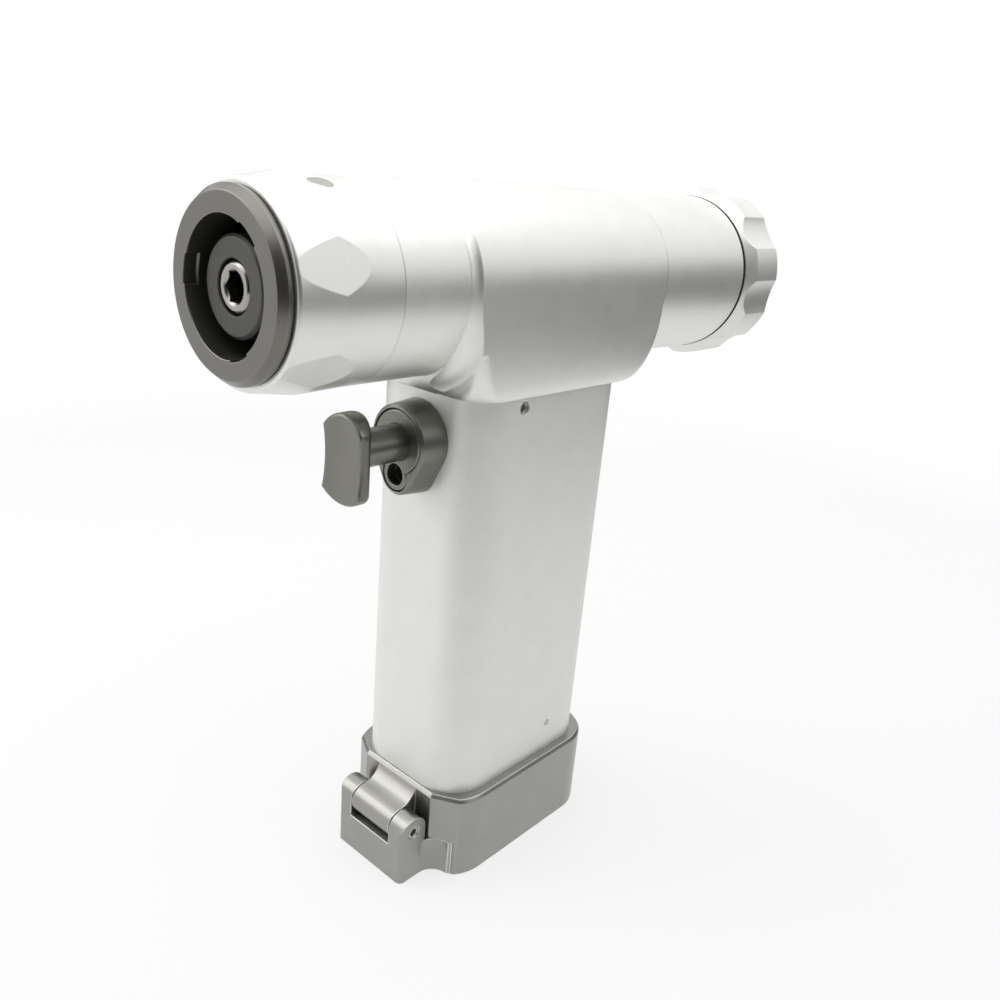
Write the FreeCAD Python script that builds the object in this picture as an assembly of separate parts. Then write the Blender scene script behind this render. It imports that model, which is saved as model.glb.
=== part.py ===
import FreeCAD, Part
import math
import os

# A small battery powered surgical handpiece that stands on its battery cap.
# Millimetres. The origin is on the floor under the middle of the grip, Z is up,
# the barrel lies along Y and its nose points to -Y.

# Clearances
RUN = 0.05           # between turning or sliding parts
SEAT = 0.1           # between a loose part and its seat
APART = 0.3          # between bodies that never touch

# Barrel and nose, stations measured along the barrel from the grip's centre line
AXIS_HEIGHT = 137.5
FRONT_REACH = 71.2   # to the front face of the collar ring
REAR_REACH = 68.7    # to the rear end of the barrel
BARREL_RADIUS = 18.35
BARREL_REAR_RADIUS = 19.75
BARREL_BORE = 15.6
NOSE_LENGTH = 23.5
NOSE_RIM_RADIUS = 17.45
NOSE_RIM_SETBACK = 2.5
NOSE_RIDGE_RADIUS = 18.65
NOSE_RIDGE_SETBACK = 10.8
NOSE_TAPER = 9.0
NOSE_FLATS = 6
NOSE_FLAT_HALF_ANGLE = 14.6
NOSE_FLAT_CLOCK = 17.5
NOSE_FLAT_TILT = 4.5
SPIGOT_LENGTH = 6.0
SPIGOT_WALL = 0.75

# Locking collar
COLLAR_RADIUS = 16.35
COLLAR_FACE_RADIUS = 15.2
COLLAR_BORE = 11.7
COLLAR_LIP = 2.2
COLLAR_CHAMFER = 1.4
COLLAR_SKIRT_RADIUS = 14.6
COLLAR_SKIRT_LENGTH = 5.2
COLLAR_NOTCHES = 3
COLLAR_NOTCH_ANGLE = 26.0
COLLAR_NOTCH_DEPTH = 0.35
COLLAR_NOTCH_CLOCK = 52.0
RETAINER_DEPTH = 0.7
RETAINER_WIDTH = 0.8
SPRING_ROOM = 5.4

# Coupling hub and spindle
HUB_SETBACK = 2.1
HUB_RADIUS = 8.6
HUB_LENGTH = 15.1
HUB_FLANGE = 5.5
HUB_SPIGOT = 1.5
HUB_SPIGOT_RADIUS = 8.2
HUB_LIP = 1.5
HUB_EDGE = 0.6
HUB_OPENING = 4.72
SLEEVE_WALL = 0.5
SLEEVE_GAP = 0.2
SPINDLE_RADIUS = 4.3
SPINDLE_EDGE = 0.5
SPINDLE_TAIL_RADIUS = 3.4
SPINDLE_SHOULDER = 0.9
SOCKET_FLAT = 2.5
SOCKET_DEPTH = 9.0
SEAL_WIDTH = 2.0
BEARING_WIDTH = 4.0
FRONT_BEARING_RADIUS = 7.0
REAR_BEARING_RADIUS = 8.0
BEARING_GROOVE = 0.4
KEY_WIDTH = 2.2
KEY_HEIGHT = 1.5
KEY_LENGTH = 3.4
KEY_POINT = 1.4
INDEX_PIN_RADIUS = 2.2
INDEX_PIN_DEPTH = 3.0
INDEX_PIN_SETBACK = 14.9
INDEX_PIN_ANGLE = 71.5

# Planetary gears
MODULE = 0.75
SUN_TEETH = 12
PLANET_TEETH = 12
PLANETS = 3
PRESSURE_ANGLE = 25.0
ADDENDUM = 0.8       # in modules
DEDENDUM = 1.0       # in modules
BACKLASH = 0.07      # taken off each tooth's thickness
GEAR_WIDTH = 8.0
CARRIER_RADIUS = 12.0
CARRIER_DISC = 3.0
CARRIER_PLATE = 2.0
CARRIER_PLATE_OPENING = 5.6
PLANET_PIN_RADIUS = 1.5

# Motor
MOTOR_SHAFT_RADIUS = 2.5
MOTOR_LENGTH = 61.0
MOTOR_WALL = 1.1
MOTOR_FRONT_PLATE = 3.2
MOTOR_REAR_PLATE = 3.2
MOTOR_BEARING_RADIUS = 5.0
MOTOR_BEARING_WIDTH = 2.5
MOTOR_PLATE_HOLE = 1.6
MOTOR_PLATE_HOLES = 4
MOTOR_PLATE_PITCH = 10.0
STATOR_LENGTH = 44.0
STATOR_BORE = 8.4
STATOR_SLOTS = 6
STATOR_SLOT_DEPTH = 3.4
STATOR_SLOT_WIDTH = 3.0
ROTOR_RADIUS = 7.9
ROTOR_LENGTH = 40.0
BOARD_THICK = 1.4
MOTOR_BOARD_GAP = 1.6
MOTOR_BOARD_HOLE = 4.0
CLAMP_WALL = 2.0

# End knob
KNOB_GAP = 0.9
KNOB_LENGTH = 15.0
KNOB_RADIUS = 22.0
KNOB_NECK_RADIUS = 19.6
KNOB_FRONT_TAPER = 2.5
KNOB_REAR_CHAMFER = 1.6
KNOB_LOBES = 8
KNOB_LOBE_CLOCK = 11.5
KNOB_SCALLOP_ANGLE = 23.4
KNOB_SCALLOP_RADIUS = 10.0
KNOB_SPIGOT_RADIUS = 17.2
KNOB_SPIGOT_LENGTH = 8.0
KNOB_HOLLOW_RADIUS = 14.0
KNOB_END_WALL = 4.0
KNOB_DISH_RADIUS = 16.0
KNOB_DISH_DEPTH = 1.0
SEAL_RING_RADIUS = 19.1

# Saddle block under the barrel
BLOCK_HALF_WIDTH = 19.4
BLOCK_FRONT = 28.4
BLOCK_REAR = 32.8
BLOCK_DEPTH = 21.7    # from the axis down
BLOCK_FLARE = 4.0     # hollow sweep from the barrel into the block's front
BLOCK_FLARE_CUT = 0.6     # the sweep is cut off this far before it runs out to nothing
BLOCK_CORNER = 1.2
BLOCK_LOW_CORNER = 7.5
BLOCK_LOW_HALF_WIDTH = 17.55
BLOCK_LOW_FRONT = 26.1
BLOCK_LOW_REAR = 27.2
BLOCK_ROUND_HEIGHT = 17.0
BLOCK_SECTIONS = 6
WIRE_SLOT_HALF = 6.0
WIRE_SLOT_LENGTH = 12.0

# Grip
GRIP_HALF_WIDTH = 17.1
GRIP_HALF_DEPTH = 25.2
GRIP_CORNER = 10.0
GRIP_WALL = 2.0
GRIP_FOOT = 12.0
GRIP_SOCKET = 2.6
NECK_DEPTH = 7.6
NECK_WALL = 3.0
GRIP_SCREW_RADIUS = 1.5
GRIP_SCREW_DROP = 2.2
GRIP_SCREW_Y = -12.0
GRIP_SCREW_SINK = 0.5
GRIP_SCREW_HEX = 0.75
CAP_PIN_RADIUS = 0.8
CAP_PIN_HEIGHT = 28.8
CAP_PIN_Y = 8.3

# Trigger
TRIGGER_HEIGHT = 105.1
TRIGGER_ROD_RADIUS = 3.9
TRIGGER_TRAVEL = 5.5
PAD_HALF_WIDTH = 5.9
PAD_HALF_HEIGHT = 9.4
PAD_DROP = 1.5
PAD_THICK = 5.0
PAD_END_RADIUS = 8.2
PAD_HOLLOW_RADIUS = 30.0
PAD_FRONT_RADIUS = 24.0
PAD_BACK_RADIUS = 9.2
PAD_FRONT_Y = -46.3
PAD_HOLLOW_DEPTH = 1.3
BOSS_RADIUS = 8.7
BOSS_LOW_RADIUS = 5.5
BOSS_LOW_DROP = 6.8
BOSS_HEIGHT = 6.5
BOSS_TAPER = 0.8      # the front outline is this much smaller all round
BOSS_BEVEL = 0.5
INSERT_RADIUS = 7.1
INSERT_LOBE_RADIUS = 3.8
INSERT_LOBE_DROP = 7.0
INSERT_THICK = 2.4
INSERT_BEVEL = 0.5
INSERT_HOLE_RADIUS = 2.4
INSERT_HOLE_DEPTH = 5.5
BOSS_SPIGOT_RADIUS = 5.2
BOSS_NUT_RADIUS = 7.6
BOSS_NUT_THICK = 2.0
CLIP_RADIUS = 5.6
CLIP_WIDTH = 1.0
TRIGGER_SPRING_RADIUS = 5.1
TRIGGER_SPRING_WIRE = 0.45
TRIGGER_SPRING_TURNS = 5
TRIGGER_SPRING_LENGTH = 11.0
TRIGGER_TAIL = 4.0
MAGNET_RADIUS = 2.5
MAGNET_LENGTH = 2.0
BRACKET_HALF_WIDTH = 10.0
BRACKET_WALL = 2.0
BRACKET_FOOT = 8.0
CUP_DEPTH = 4.0

# Battery, contacts and controller
BATTERY_HALF_WIDTH = 13.1
BATTERY_FRONT = 20.2
BATTERY_REAR = 19.6
BATTERY_CORNER = 4.6
BATTERY_FOOT = 4.6
BATTERY_HEIGHT = 77.0
BATTERY_WALL = 1.2
CELL_RADIUS = 9.0
CELL_LENGTH = 65.0
CELLS = 2
CONTACT_GAP = 3.2
CONTACT_RADIUS = 1.2
CONTACT_PITCH = 10.0
CONTACT_BLOCK = 3.0
BOARD_HALF_WIDTH = 11.5
BOARD_HEIGHT = 19.5
BOARD_Y = 12.0
CHIP_DEPTH = 1.2
CHIP_SIZE = 5.0
CHIP_PITCH = 7.5

# Battery cap: frame, hinge and lid
CAP_WALL = 2.5
CAP_HEIGHT = 21.2
CAP_BEVEL = 0.8
CAP_CORNER = 11.3
CAP_FRONT = 26.3     # front face, cut flat
CAP_FACET_ANGLE = 29.0
CAP_SLEEVE_TOP = 33.0
CAP_SLEEVE_GAP = 0.5
LID_PLATE = 3.0
LID_WALL_HEIGHT = 9.0
LID_WALL_REAR = 23.3
LID_CORNER_SHIFT = 4.4
LID_SEAL_THICK = 0.6
LID_SEAL_WIDTH = 1.2
LID_SEAL_CORNER = 7.5
HINGE_Y = -31.1
HINGE_HEIGHT = 13.2
KNUCKLE_RADIUS = 3.7
HINGE_HALF_WIDTH = 11.4
HINGE_EDGE = 1.4
LUG_HALF_WIDTH = 6.5
LUG_EASE = 0.45
HINGE_PIN_RADIUS = 1.6
HINGE_PIN_SOCKET = 0.9
HINGE_SOCKET_DEPTH = 1.6
SCOOP_RADIUS = 4.6
SCOOP_WALL = 0.7
CATCH_HALF_WIDTH = 5.0
CATCH_HEIGHT = 6.0
CATCH_Z = 8.0
CATCH_PROUD = 1.3
CATCH_TRAVEL = 1.2
CATCH_CORNER = 1.4
CATCH_BODY = 5.2
CATCH_BAR = 0.8
CATCH_SKIN = 1.2
CATCH_WINDOW_HALF = 2.8
CATCH_WINDOW_TOP = 8.2
CATCH_SPRING_RADIUS = 1.0
CATCH_SPRING_WIRE = 0.2
CATCH_SPRING_HEIGHT = 9.6
CATCH_SPRING_BORE = 3.0
CATCH_SPRING_TURNS = 4
TONGUE_HALF_WIDTH = 2.3
TONGUE_THICK = 1.0
TONGUE_GAP = 0.6

# Stations along the barrel, worked out from the sizes above
FACE_Y = -FRONT_REACH
BLOCK_BOTTOM = AXIS_HEIGHT - BLOCK_DEPTH
RIM_Y = FACE_Y + NOSE_RIM_SETBACK
RIDGE_Y = FACE_Y + NOSE_RIDGE_SETBACK
NOSE_END_Y = FACE_Y + NOSE_LENGTH
SKIRT_END_Y = RIM_Y + COLLAR_SKIRT_LENGTH
SPRING_END_Y = SKIRT_END_Y + SPRING_ROOM
HUB_FACE_Y = FACE_Y + HUB_SETBACK
HUB_ROOT_Y = HUB_FACE_Y + HUB_LENGTH
HUB_END_Y = HUB_ROOT_Y + HUB_FLANGE
SEAL_Y = HUB_FACE_Y + HUB_LIP
FRONT_BEARING_Y = SEAL_Y + SEAL_WIDTH + SEAT
REAR_BEARING_Y = HUB_END_Y - BEARING_WIDTH
CARRIER_Y = HUB_END_Y + APART
GEAR_Y = CARRIER_Y + CARRIER_DISC + APART
GEAR_END_Y = GEAR_Y + GEAR_WIDTH
PLATE_Y = GEAR_END_Y + APART
MOTOR_Y = PLATE_Y + CARRIER_PLATE + APART
MOTOR_BACK_Y = MOTOR_Y + MOTOR_LENGTH
MOTOR_BOARD_Y = MOTOR_BACK_Y + MOTOR_BOARD_GAP
KNOB_Y = REAR_REACH + KNOB_GAP
KNOB_END_Y = KNOB_Y + KNOB_LENGTH
KNOB_SPIGOT_Y = KNOB_Y - KNOB_SPIGOT_LENGTH
GRIP_TOP = min(BLOCK_BOTTOM + GRIP_SOCKET, AXIS_HEIGHT - BARREL_BORE - GRIP_WALL)
CONTACT_BLOCK_Z = BATTERY_FOOT + BATTERY_HEIGHT + CONTACT_GAP
DECK_Z = CONTACT_BLOCK_Z + CONTACT_BLOCK
BOSS_Y = -GRIP_HALF_DEPTH - BOSS_HEIGHT
BOSS_NUT_Y = -GRIP_HALF_DEPTH + GRIP_WALL
CLIP_Y = BOSS_NUT_Y + BOSS_NUT_THICK + APART
SPRING_Y = CLIP_Y + CLIP_WIDTH
BRACKET_Y = SPRING_Y + TRIGGER_SPRING_LENGTH
ROD_END_Y = BRACKET_Y + BRACKET_WALL + TRIGGER_TAIL
RING_TEETH = SUN_TEETH + 2 * PLANET_TEETH
CARRIER_PITCH = MODULE * (SUN_TEETH + PLANET_TEETH) / 2
LEDGE_Z = LID_PLATE + LID_SEAL_THICK + SEAT


def vec(x, y, z):
    return FreeCAD.Vector(x, y, z)


AXIS = vec(0, 0, AXIS_HEIGHT)
ALONG = vec(0, 1, 0)


def turned(points):
    """Solid of revolution about the barrel axis from (y, radius) points."""
    corners = [vec(0, y, AXIS_HEIGHT + r) for y, r in points]
    face = Part.Face(Part.makePolygon(corners + corners[:1]))
    return face.revolve(AXIS, ALONG, 360)


def ring(y_start, y_end, outer, inner):
    return turned([(y_start, inner), (y_start, outer), (y_end, outer), (y_end, inner)])


def disc(y_start, y_end, radius):
    return Part.makeCylinder(radius, y_end - y_start, vec(0, y_start, AXIS_HEIGHT), ALONG)


def rod(start, direction, length, radius):
    return Part.makeCylinder(radius, length, start, direction)


def box(x0, x1, y0, y1, z0, z1):
    return Part.makeBox(x1 - x0, y1 - y0, z1 - z0, vec(x0, y0, z0))


def around_axis(shape, angle):
    """Copy turned about the barrel axis; a positive angle goes from +X towards +Z."""
    copy = shape.copy()
    copy.rotate(AXIS, vec(0, -1, 0), angle)
    return copy


def plan_wire(half_x, y_front, y_rear, corner, z):
    """Rounded rectangle in a level plane."""
    x = half_x - corner
    front = y_front + corner
    rear = y_rear - corner
    turn = corner * math.sqrt(0.5)
    edges = []
    corners = [(x, rear, 1, 1), (-x, rear, -1, 1), (-x, front, -1, -1), (x, front, 1, -1)]
    arcs = []
    for cx, cy, sx, sy in corners:
        side = vec(cx + sx * corner, cy, z)
        end = vec(cx, cy + sy * corner, z)
        middle = vec(cx + sx * turn, cy + sy * turn, z)
        first, last = (side, end) if sx * sy > 0 else (end, side)
        arcs.append((first, middle, last))
    for index, (first, middle, last) in enumerate(arcs):
        edges.append(Part.Arc(first, middle, last).toShape())
        following = arcs[(index + 1) % len(arcs)][0]
        edges.append(Part.LineSegment(last, following).toShape())
    return Part.Wire(edges)


def slab(half_x, y_front, y_rear, corner, z0, z1):
    """Upright prism on a rounded rectangle."""
    return Part.Face(plan_wire(half_x, y_front, y_rear, corner, z0)).extrude(vec(0, 0, z1 - z0))


def grip_slab(inset, z0, z1):
    """The grip's plan, smaller by the inset, or larger where it is negative."""
    half_depth = GRIP_HALF_DEPTH - inset
    return slab(GRIP_HALF_WIDTH - inset, -half_depth, half_depth, GRIP_CORNER - inset, z0, z1)


def two_circle_wire(big, small, drop, y):
    """Upright outline of a large circle and a smaller one below, joined by tangents."""
    lean = math.asin((big - small) / drop)
    rim = []
    for radius, height in ((big, TRIGGER_HEIGHT), (small, TRIGGER_HEIGHT - drop)):
        rim.append((radius * math.cos(lean), height + radius * -math.sin(lean)))
    (bx, bz), (sx, sz) = rim
    top = vec(0, y, TRIGGER_HEIGHT + big)
    bottom = vec(0, y, TRIGGER_HEIGHT - drop - small)
    return Part.Wire([
        Part.Arc(vec(bx, y, bz), top, vec(-bx, y, bz)).toShape(),
        Part.LineSegment(vec(-bx, y, bz), vec(-sx, y, sz)).toShape(),
        Part.Arc(vec(-sx, y, sz), bottom, vec(sx, y, sz)).toShape(),
        Part.LineSegment(vec(sx, y, sz), vec(bx, y, bz)).toShape(),
    ])


def boss_wire(inset, y):
    return two_circle_wire(BOSS_RADIUS - inset, BOSS_LOW_RADIUS - inset, BOSS_LOW_DROP, y)


def bearing(y, outer, shaft_radius):
    """Shielded ball bearing with a groove between its races on both faces."""
    middle = (outer + shaft_radius) / 2
    groove = ring(y, y + BEARING_GROOVE, middle + BEARING_GROOVE, middle - BEARING_GROOVE)
    far = groove.translated(vec(0, BEARING_WIDTH - BEARING_GROOVE, 0))
    return ring(y, y + BEARING_WIDTH, outer, shaft_radius + RUN).cut(Part.makeCompound([groove, far]))


def coil(centre, direction, radius, wire, length, turns):
    """Closed compression spring: a round wire swept along a helix."""
    pitch = (length - 2 * wire) / turns
    path = Part.makeHelix(pitch, pitch * turns, radius)
    section = Part.Wire(Part.makeCircle(wire, vec(radius, 0, 0), vec(0, 1, 0)))
    spring = path.makePipeShell([section], True, True)
    spring.translate(vec(0, 0, wire))
    spring.Placement = FreeCAD.Placement(centre, FreeCAD.Rotation(vec(0, 0, 1), direction)).multiply(
        spring.Placement)
    return spring


def hexagon(y_start, y_end, half_flat):
    radius = half_flat / math.cos(math.radians(30))
    corners = []
    for index in range(6):
        angle = math.radians(60 * index)
        corners.append(vec(radius * math.cos(angle), y_start, AXIS_HEIGHT + radius * math.sin(angle)))
    return Part.Face(Part.makePolygon(corners + corners[:1])).extrude(vec(0, y_end - y_start, 0))


# Nose

def nose_outer():
    """Cone out to the ridge and back to the barrel, cut by six flats that lean inwards to the front."""
    body = turned([
        (RIM_Y, 0), (RIM_Y, NOSE_RIM_RADIUS - CAP_BEVEL / 2), (RIM_Y + CAP_BEVEL / 2, NOSE_RIM_RADIUS),
        (RIDGE_Y, NOSE_RIDGE_RADIUS), (RIDGE_Y + NOSE_TAPER, BARREL_RADIUS),
        (NOSE_END_Y, BARREL_RADIUS), (NOSE_END_Y, 0)])
    reach = NOSE_RIDGE_RADIUS * math.cos(math.radians(NOSE_FLAT_HALF_ANGLE))
    cutter = box(reach, reach + NOSE_RIDGE_RADIUS, 2 * RIM_Y - RIDGE_Y, NOSE_END_Y + 1,
                 AXIS_HEIGHT - NOSE_RIDGE_RADIUS, AXIS_HEIGHT + NOSE_RIDGE_RADIUS)
    cutter.rotate(vec(reach, RIDGE_Y, AXIS_HEIGHT), vec(0, 0, 1), -NOSE_FLAT_TILT)
    cutters = []
    for index in range(NOSE_FLATS):
        cutters.append(around_axis(cutter, NOSE_FLAT_CLOCK + index * 360 / NOSE_FLATS))
    return body.cut(Part.makeCompound(cutters))


def nose_housing():
    shell = nose_outer().fuse(disc(NOSE_END_Y - 1, NOSE_END_Y + SPIGOT_LENGTH, BARREL_BORE + SPIGOT_WALL))
    bore = turned([
        (RIM_Y - 1, 0), (RIM_Y - 1, COLLAR_SKIRT_RADIUS + RUN), (SPRING_END_Y, COLLAR_SKIRT_RADIUS + RUN),
        (SPRING_END_Y, sleeve_outer()), (HUB_ROOT_Y, sleeve_outer()), (HUB_ROOT_Y, BARREL_BORE),
        (NOSE_END_Y + SPIGOT_LENGTH + 1, BARREL_BORE), (NOSE_END_Y + SPIGOT_LENGTH + 1, 0)])
    groove = ring(retainer_y(), retainer_y() + RETAINER_WIDTH, COLLAR_SKIRT_RADIUS + RETAINER_DEPTH, 0)
    return shell.cut(bore).cut(groove).cut(index_pin_blank())


def sleeve_outer():
    return COLLAR_BORE + SLEEVE_GAP + SLEEVE_WALL


def retainer_y():
    return SKIRT_END_Y - 2 * RETAINER_WIDTH


def index_pin_blank():
    """Radial plug that comes out through the top flat of the nose."""
    start = vec(NOSE_RIDGE_RADIUS - INDEX_PIN_DEPTH, FACE_Y + INDEX_PIN_SETBACK, AXIS_HEIGHT)
    plug = rod(start, vec(1, 0, 0), 2 * INDEX_PIN_DEPTH, INDEX_PIN_RADIUS)
    return around_axis(plug, INDEX_PIN_ANGLE)


def index_pin():
    return index_pin_blank().common(nose_outer())


def collar_ring():
    """Flat faced ring with a turned skirt, a retaining groove and three bayonet notches."""
    lip_end = FACE_Y + COLLAR_LIP
    body = turned([
        (FACE_Y, COLLAR_BORE), (FACE_Y, COLLAR_FACE_RADIUS), (FACE_Y + COLLAR_CHAMFER, COLLAR_RADIUS),
        (lip_end, COLLAR_RADIUS), (lip_end, COLLAR_SKIRT_RADIUS), (SKIRT_END_Y, COLLAR_SKIRT_RADIUS),
        (SKIRT_END_Y, COLLAR_BORE)])
    floor = COLLAR_SKIRT_RADIUS - RETAINER_DEPTH
    groove = ring(retainer_y() - SEAT, retainer_y() + RETAINER_WIDTH + SEAT, COLLAR_SKIRT_RADIUS + 1, floor)
    return body.cut(groove).cut(collar_notches())


def collar_notches():
    sector = Part.makeCylinder(COLLAR_BORE + COLLAR_NOTCH_DEPTH, COLLAR_LIP + COLLAR_CHAMFER,
                               vec(0, FACE_Y - 1, AXIS_HEIGHT), ALONG, COLLAR_NOTCH_ANGLE)
    start = sector.CenterOfMass.sub(AXIS)
    offset = math.degrees(math.atan2(start.z, start.x))
    notches = []
    for index in range(COLLAR_NOTCHES):
        angle = COLLAR_NOTCH_CLOCK + index * 360 / COLLAR_NOTCHES
        notches.append(around_axis(sector, angle - offset))
    return Part.makeCompound(notches)


def collar_retainer():
    inner = COLLAR_SKIRT_RADIUS - RETAINER_DEPTH + SEAT
    body = ring(retainer_y(), retainer_y() + RETAINER_WIDTH, COLLAR_SKIRT_RADIUS + RETAINER_DEPTH, inner)
    opening = box(-INDEX_PIN_RADIUS, INDEX_PIN_RADIUS, retainer_y() - 1, retainer_y() + RETAINER_WIDTH + 1,
                  AXIS_HEIGHT, AXIS_HEIGHT + BARREL_RADIUS)
    return body.cut(opening)


def collar_spring():
    """Flat wound torsion ring in the room behind the collar's skirt."""
    inner = sleeve_outer() + SEAT
    outer = COLLAR_SKIRT_RADIUS - SEAT
    leaves = []
    width = (SPRING_ROOM - APART) / 3
    for index in range(3):
        y = SKIRT_END_Y + APART + index * width
        leaves.append(ring(y, y + width * 0.6, outer, inner))
        bridge = ring(y + width * 0.5, y + width, outer, inner)
        bridge = bridge.common(box(-BARREL_RADIUS, BARREL_RADIUS, y, y + width, AXIS_HEIGHT + inner * 0.9,
                                   AXIS_HEIGHT + BARREL_RADIUS))
        leaves.append(bridge)
    body = leaves[0].multiFuse(leaves[1:])
    return body.removeSplitter()


def guide_sleeve():
    inner = COLLAR_BORE + SLEEVE_GAP
    return ring(SKIRT_END_Y + SLEEVE_GAP, HUB_ROOT_Y, sleeve_outer(), inner)


def coupling_hub():
    """Hub that an attachment slides over; it holds the seal and the front bearing."""
    end = HUB_ROOT_Y + HUB_SPIGOT
    return turned([
        (HUB_FACE_Y, HUB_OPENING), (HUB_FACE_Y, HUB_RADIUS - HUB_EDGE), (HUB_FACE_Y + HUB_EDGE, HUB_RADIUS),
        (HUB_ROOT_Y, HUB_RADIUS), (HUB_ROOT_Y, HUB_SPIGOT_RADIUS), (end, HUB_SPIGOT_RADIUS),
        (end, FRONT_BEARING_RADIUS), (SEAL_Y, FRONT_BEARING_RADIUS), (SEAL_Y, HUB_OPENING)])


def hub_flange():
    """Flange that closes the recess, with the hub in its front and the rear bearing in its back."""
    step = HUB_ROOT_Y + HUB_SPIGOT
    return turned([
        (HUB_ROOT_Y, HUB_SPIGOT_RADIUS), (HUB_ROOT_Y, BARREL_BORE), (HUB_END_Y, BARREL_BORE),
        (HUB_END_Y, REAR_BEARING_RADIUS), (step, REAR_BEARING_RADIUS), (step, HUB_SPIGOT_RADIUS)])


def alignment_key():
    """Small pointed key on the bottom of the recess."""
    top = AXIS_HEIGHT - COLLAR_BORE - SLEEVE_GAP + KEY_HEIGHT
    half = KEY_WIDTH / 2
    y = SKIRT_END_Y + SLEEVE_GAP
    outline = [vec(0, y, top), vec(half, y + KEY_POINT, top), vec(half, y + KEY_LENGTH, top),
               vec(-half, y + KEY_LENGTH, top), vec(-half, y + KEY_POINT, top)]
    block = Part.Face(Part.makePolygon(outline + outline[:1])).extrude(vec(0, 0, -2 * KEY_HEIGHT))
    return block.common(disc(y - 1, HUB_ROOT_Y, COLLAR_BORE + SLEEVE_GAP))


def drive_spindle():
    """Spindle with a hex socket, a shoulder between its bearings and a tail for the carrier."""
    shoulder_start = FRONT_BEARING_Y + BEARING_WIDTH + SEAT
    shoulder_end = REAR_BEARING_Y - SEAT
    wide = SPINDLE_RADIUS + SPINDLE_SHOULDER
    body = turned([
        (HUB_FACE_Y, 0), (HUB_FACE_Y, SPINDLE_RADIUS - SPINDLE_EDGE),
        (HUB_FACE_Y + SPINDLE_EDGE, SPINDLE_RADIUS),
        (shoulder_start, SPINDLE_RADIUS), (shoulder_start, wide), (shoulder_end, wide),
        (shoulder_end, SPINDLE_RADIUS), (HUB_END_Y + APART, SPINDLE_RADIUS),
        (HUB_END_Y + APART, SPINDLE_TAIL_RADIUS), (CARRIER_Y + CARRIER_DISC, SPINDLE_TAIL_RADIUS),
        (CARRIER_Y + CARRIER_DISC, 0)])
    lead = turned([(HUB_FACE_Y, 0), (HUB_FACE_Y, SOCKET_FLAT + SPINDLE_EDGE),
                   (HUB_FACE_Y + 2 * SPINDLE_EDGE, SOCKET_FLAT - SPINDLE_EDGE), (HUB_FACE_Y + 2 * SPINDLE_EDGE, 0)])
    return body.cut(hexagon(HUB_FACE_Y - 1, HUB_FACE_Y + SOCKET_DEPTH, SOCKET_FLAT)).cut(lead)


def shaft_seal():
    return ring(SEAL_Y, SEAL_Y + SEAL_WIDTH, FRONT_BEARING_RADIUS, SPINDLE_RADIUS + RUN)


# Gears

def involute_points(base, start, end, steps):
    """Points (angle, radius) of an involute between two radii."""
    points = []
    for index in range(steps + 1):
        radius = max(start + (end - start) * index / steps, base)
        turn = math.sqrt(max((radius / base) ** 2 - 1, 0))
        points.append((turn - math.atan(turn), radius))
    return points


def gear_outline(teeth, tip, root, thickness, y):
    """Closed polygon of a spur gear; tooth 0 points to +X."""
    pitch = MODULE * teeth / 2
    base = pitch * math.cos(math.radians(PRESSURE_ANGLE))
    lean = math.tan(math.radians(PRESSURE_ANGLE)) - math.radians(PRESSURE_ANGLE)
    half = thickness / (2 * pitch)
    flank = involute_points(base, max(root, base), tip, 3)
    if root < base:
        flank = [(0.0, root)] + flank
    corners = []
    for tooth in range(teeth):
        middle = 2 * math.pi * tooth / teeth
        for turn, radius in flank:
            corners.append((middle - half - lean + turn, radius))
        for turn, radius in reversed(flank):
            corners.append((middle + half + lean - turn, radius))
    points = [vec(r * math.cos(a), y, AXIS_HEIGHT + r * math.sin(a)) for a, r in corners]
    return Part.Face(Part.makePolygon(points + points[:1]))


def outer_gear(teeth, bore):
    pitch = MODULE * teeth / 2
    thickness = math.pi * MODULE / 2 - BACKLASH
    face = gear_outline(teeth, pitch + ADDENDUM * MODULE, pitch - DEDENDUM * MODULE, thickness, GEAR_Y)
    return face.extrude(vec(0, GEAR_WIDTH, 0)).cut(disc(GEAR_Y - 1, GEAR_END_Y + 1, bore))


def sun_gear():
    """Its teeth stand half a pitch off, so that a gap faces each planet's tooth."""
    return around_axis(outer_gear(SUN_TEETH, MOTOR_SHAFT_RADIUS), 180 / SUN_TEETH)


def planet_gear(index):
    gear = outer_gear(PLANET_TEETH, PLANET_PIN_RADIUS + RUN)
    if PLANET_TEETH % 2:
        gear = around_axis(gear, 180)
    gear.translate(vec(CARRIER_PITCH, 0, 0))
    return around_axis(gear, index * 360 / PLANETS)


def ring_gear():
    """Internal gear: its spaces are the teeth of an outline with swapped tip and root."""
    pitch = MODULE * RING_TEETH / 2
    space = math.pi * MODULE / 2 + BACKLASH
    gaps = gear_outline(RING_TEETH, pitch + DEDENDUM * MODULE, pitch - ADDENDUM * MODULE, space, GEAR_Y - 1)
    cutter = gaps.extrude(vec(0, GEAR_WIDTH + 2, 0))
    return disc(GEAR_Y, GEAR_END_Y, BARREL_BORE).cut(cutter)


def planet_pin(index):
    start = vec(CARRIER_PITCH, CARRIER_Y, AXIS_HEIGHT)
    pin = rod(start, ALONG, PLATE_Y + CARRIER_PLATE - CARRIER_Y, PLANET_PIN_RADIUS)
    return around_axis(pin, index * 360 / PLANETS)


def planet_pins():
    return Part.makeCompound([planet_pin(index) for index in range(PLANETS)])


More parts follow.
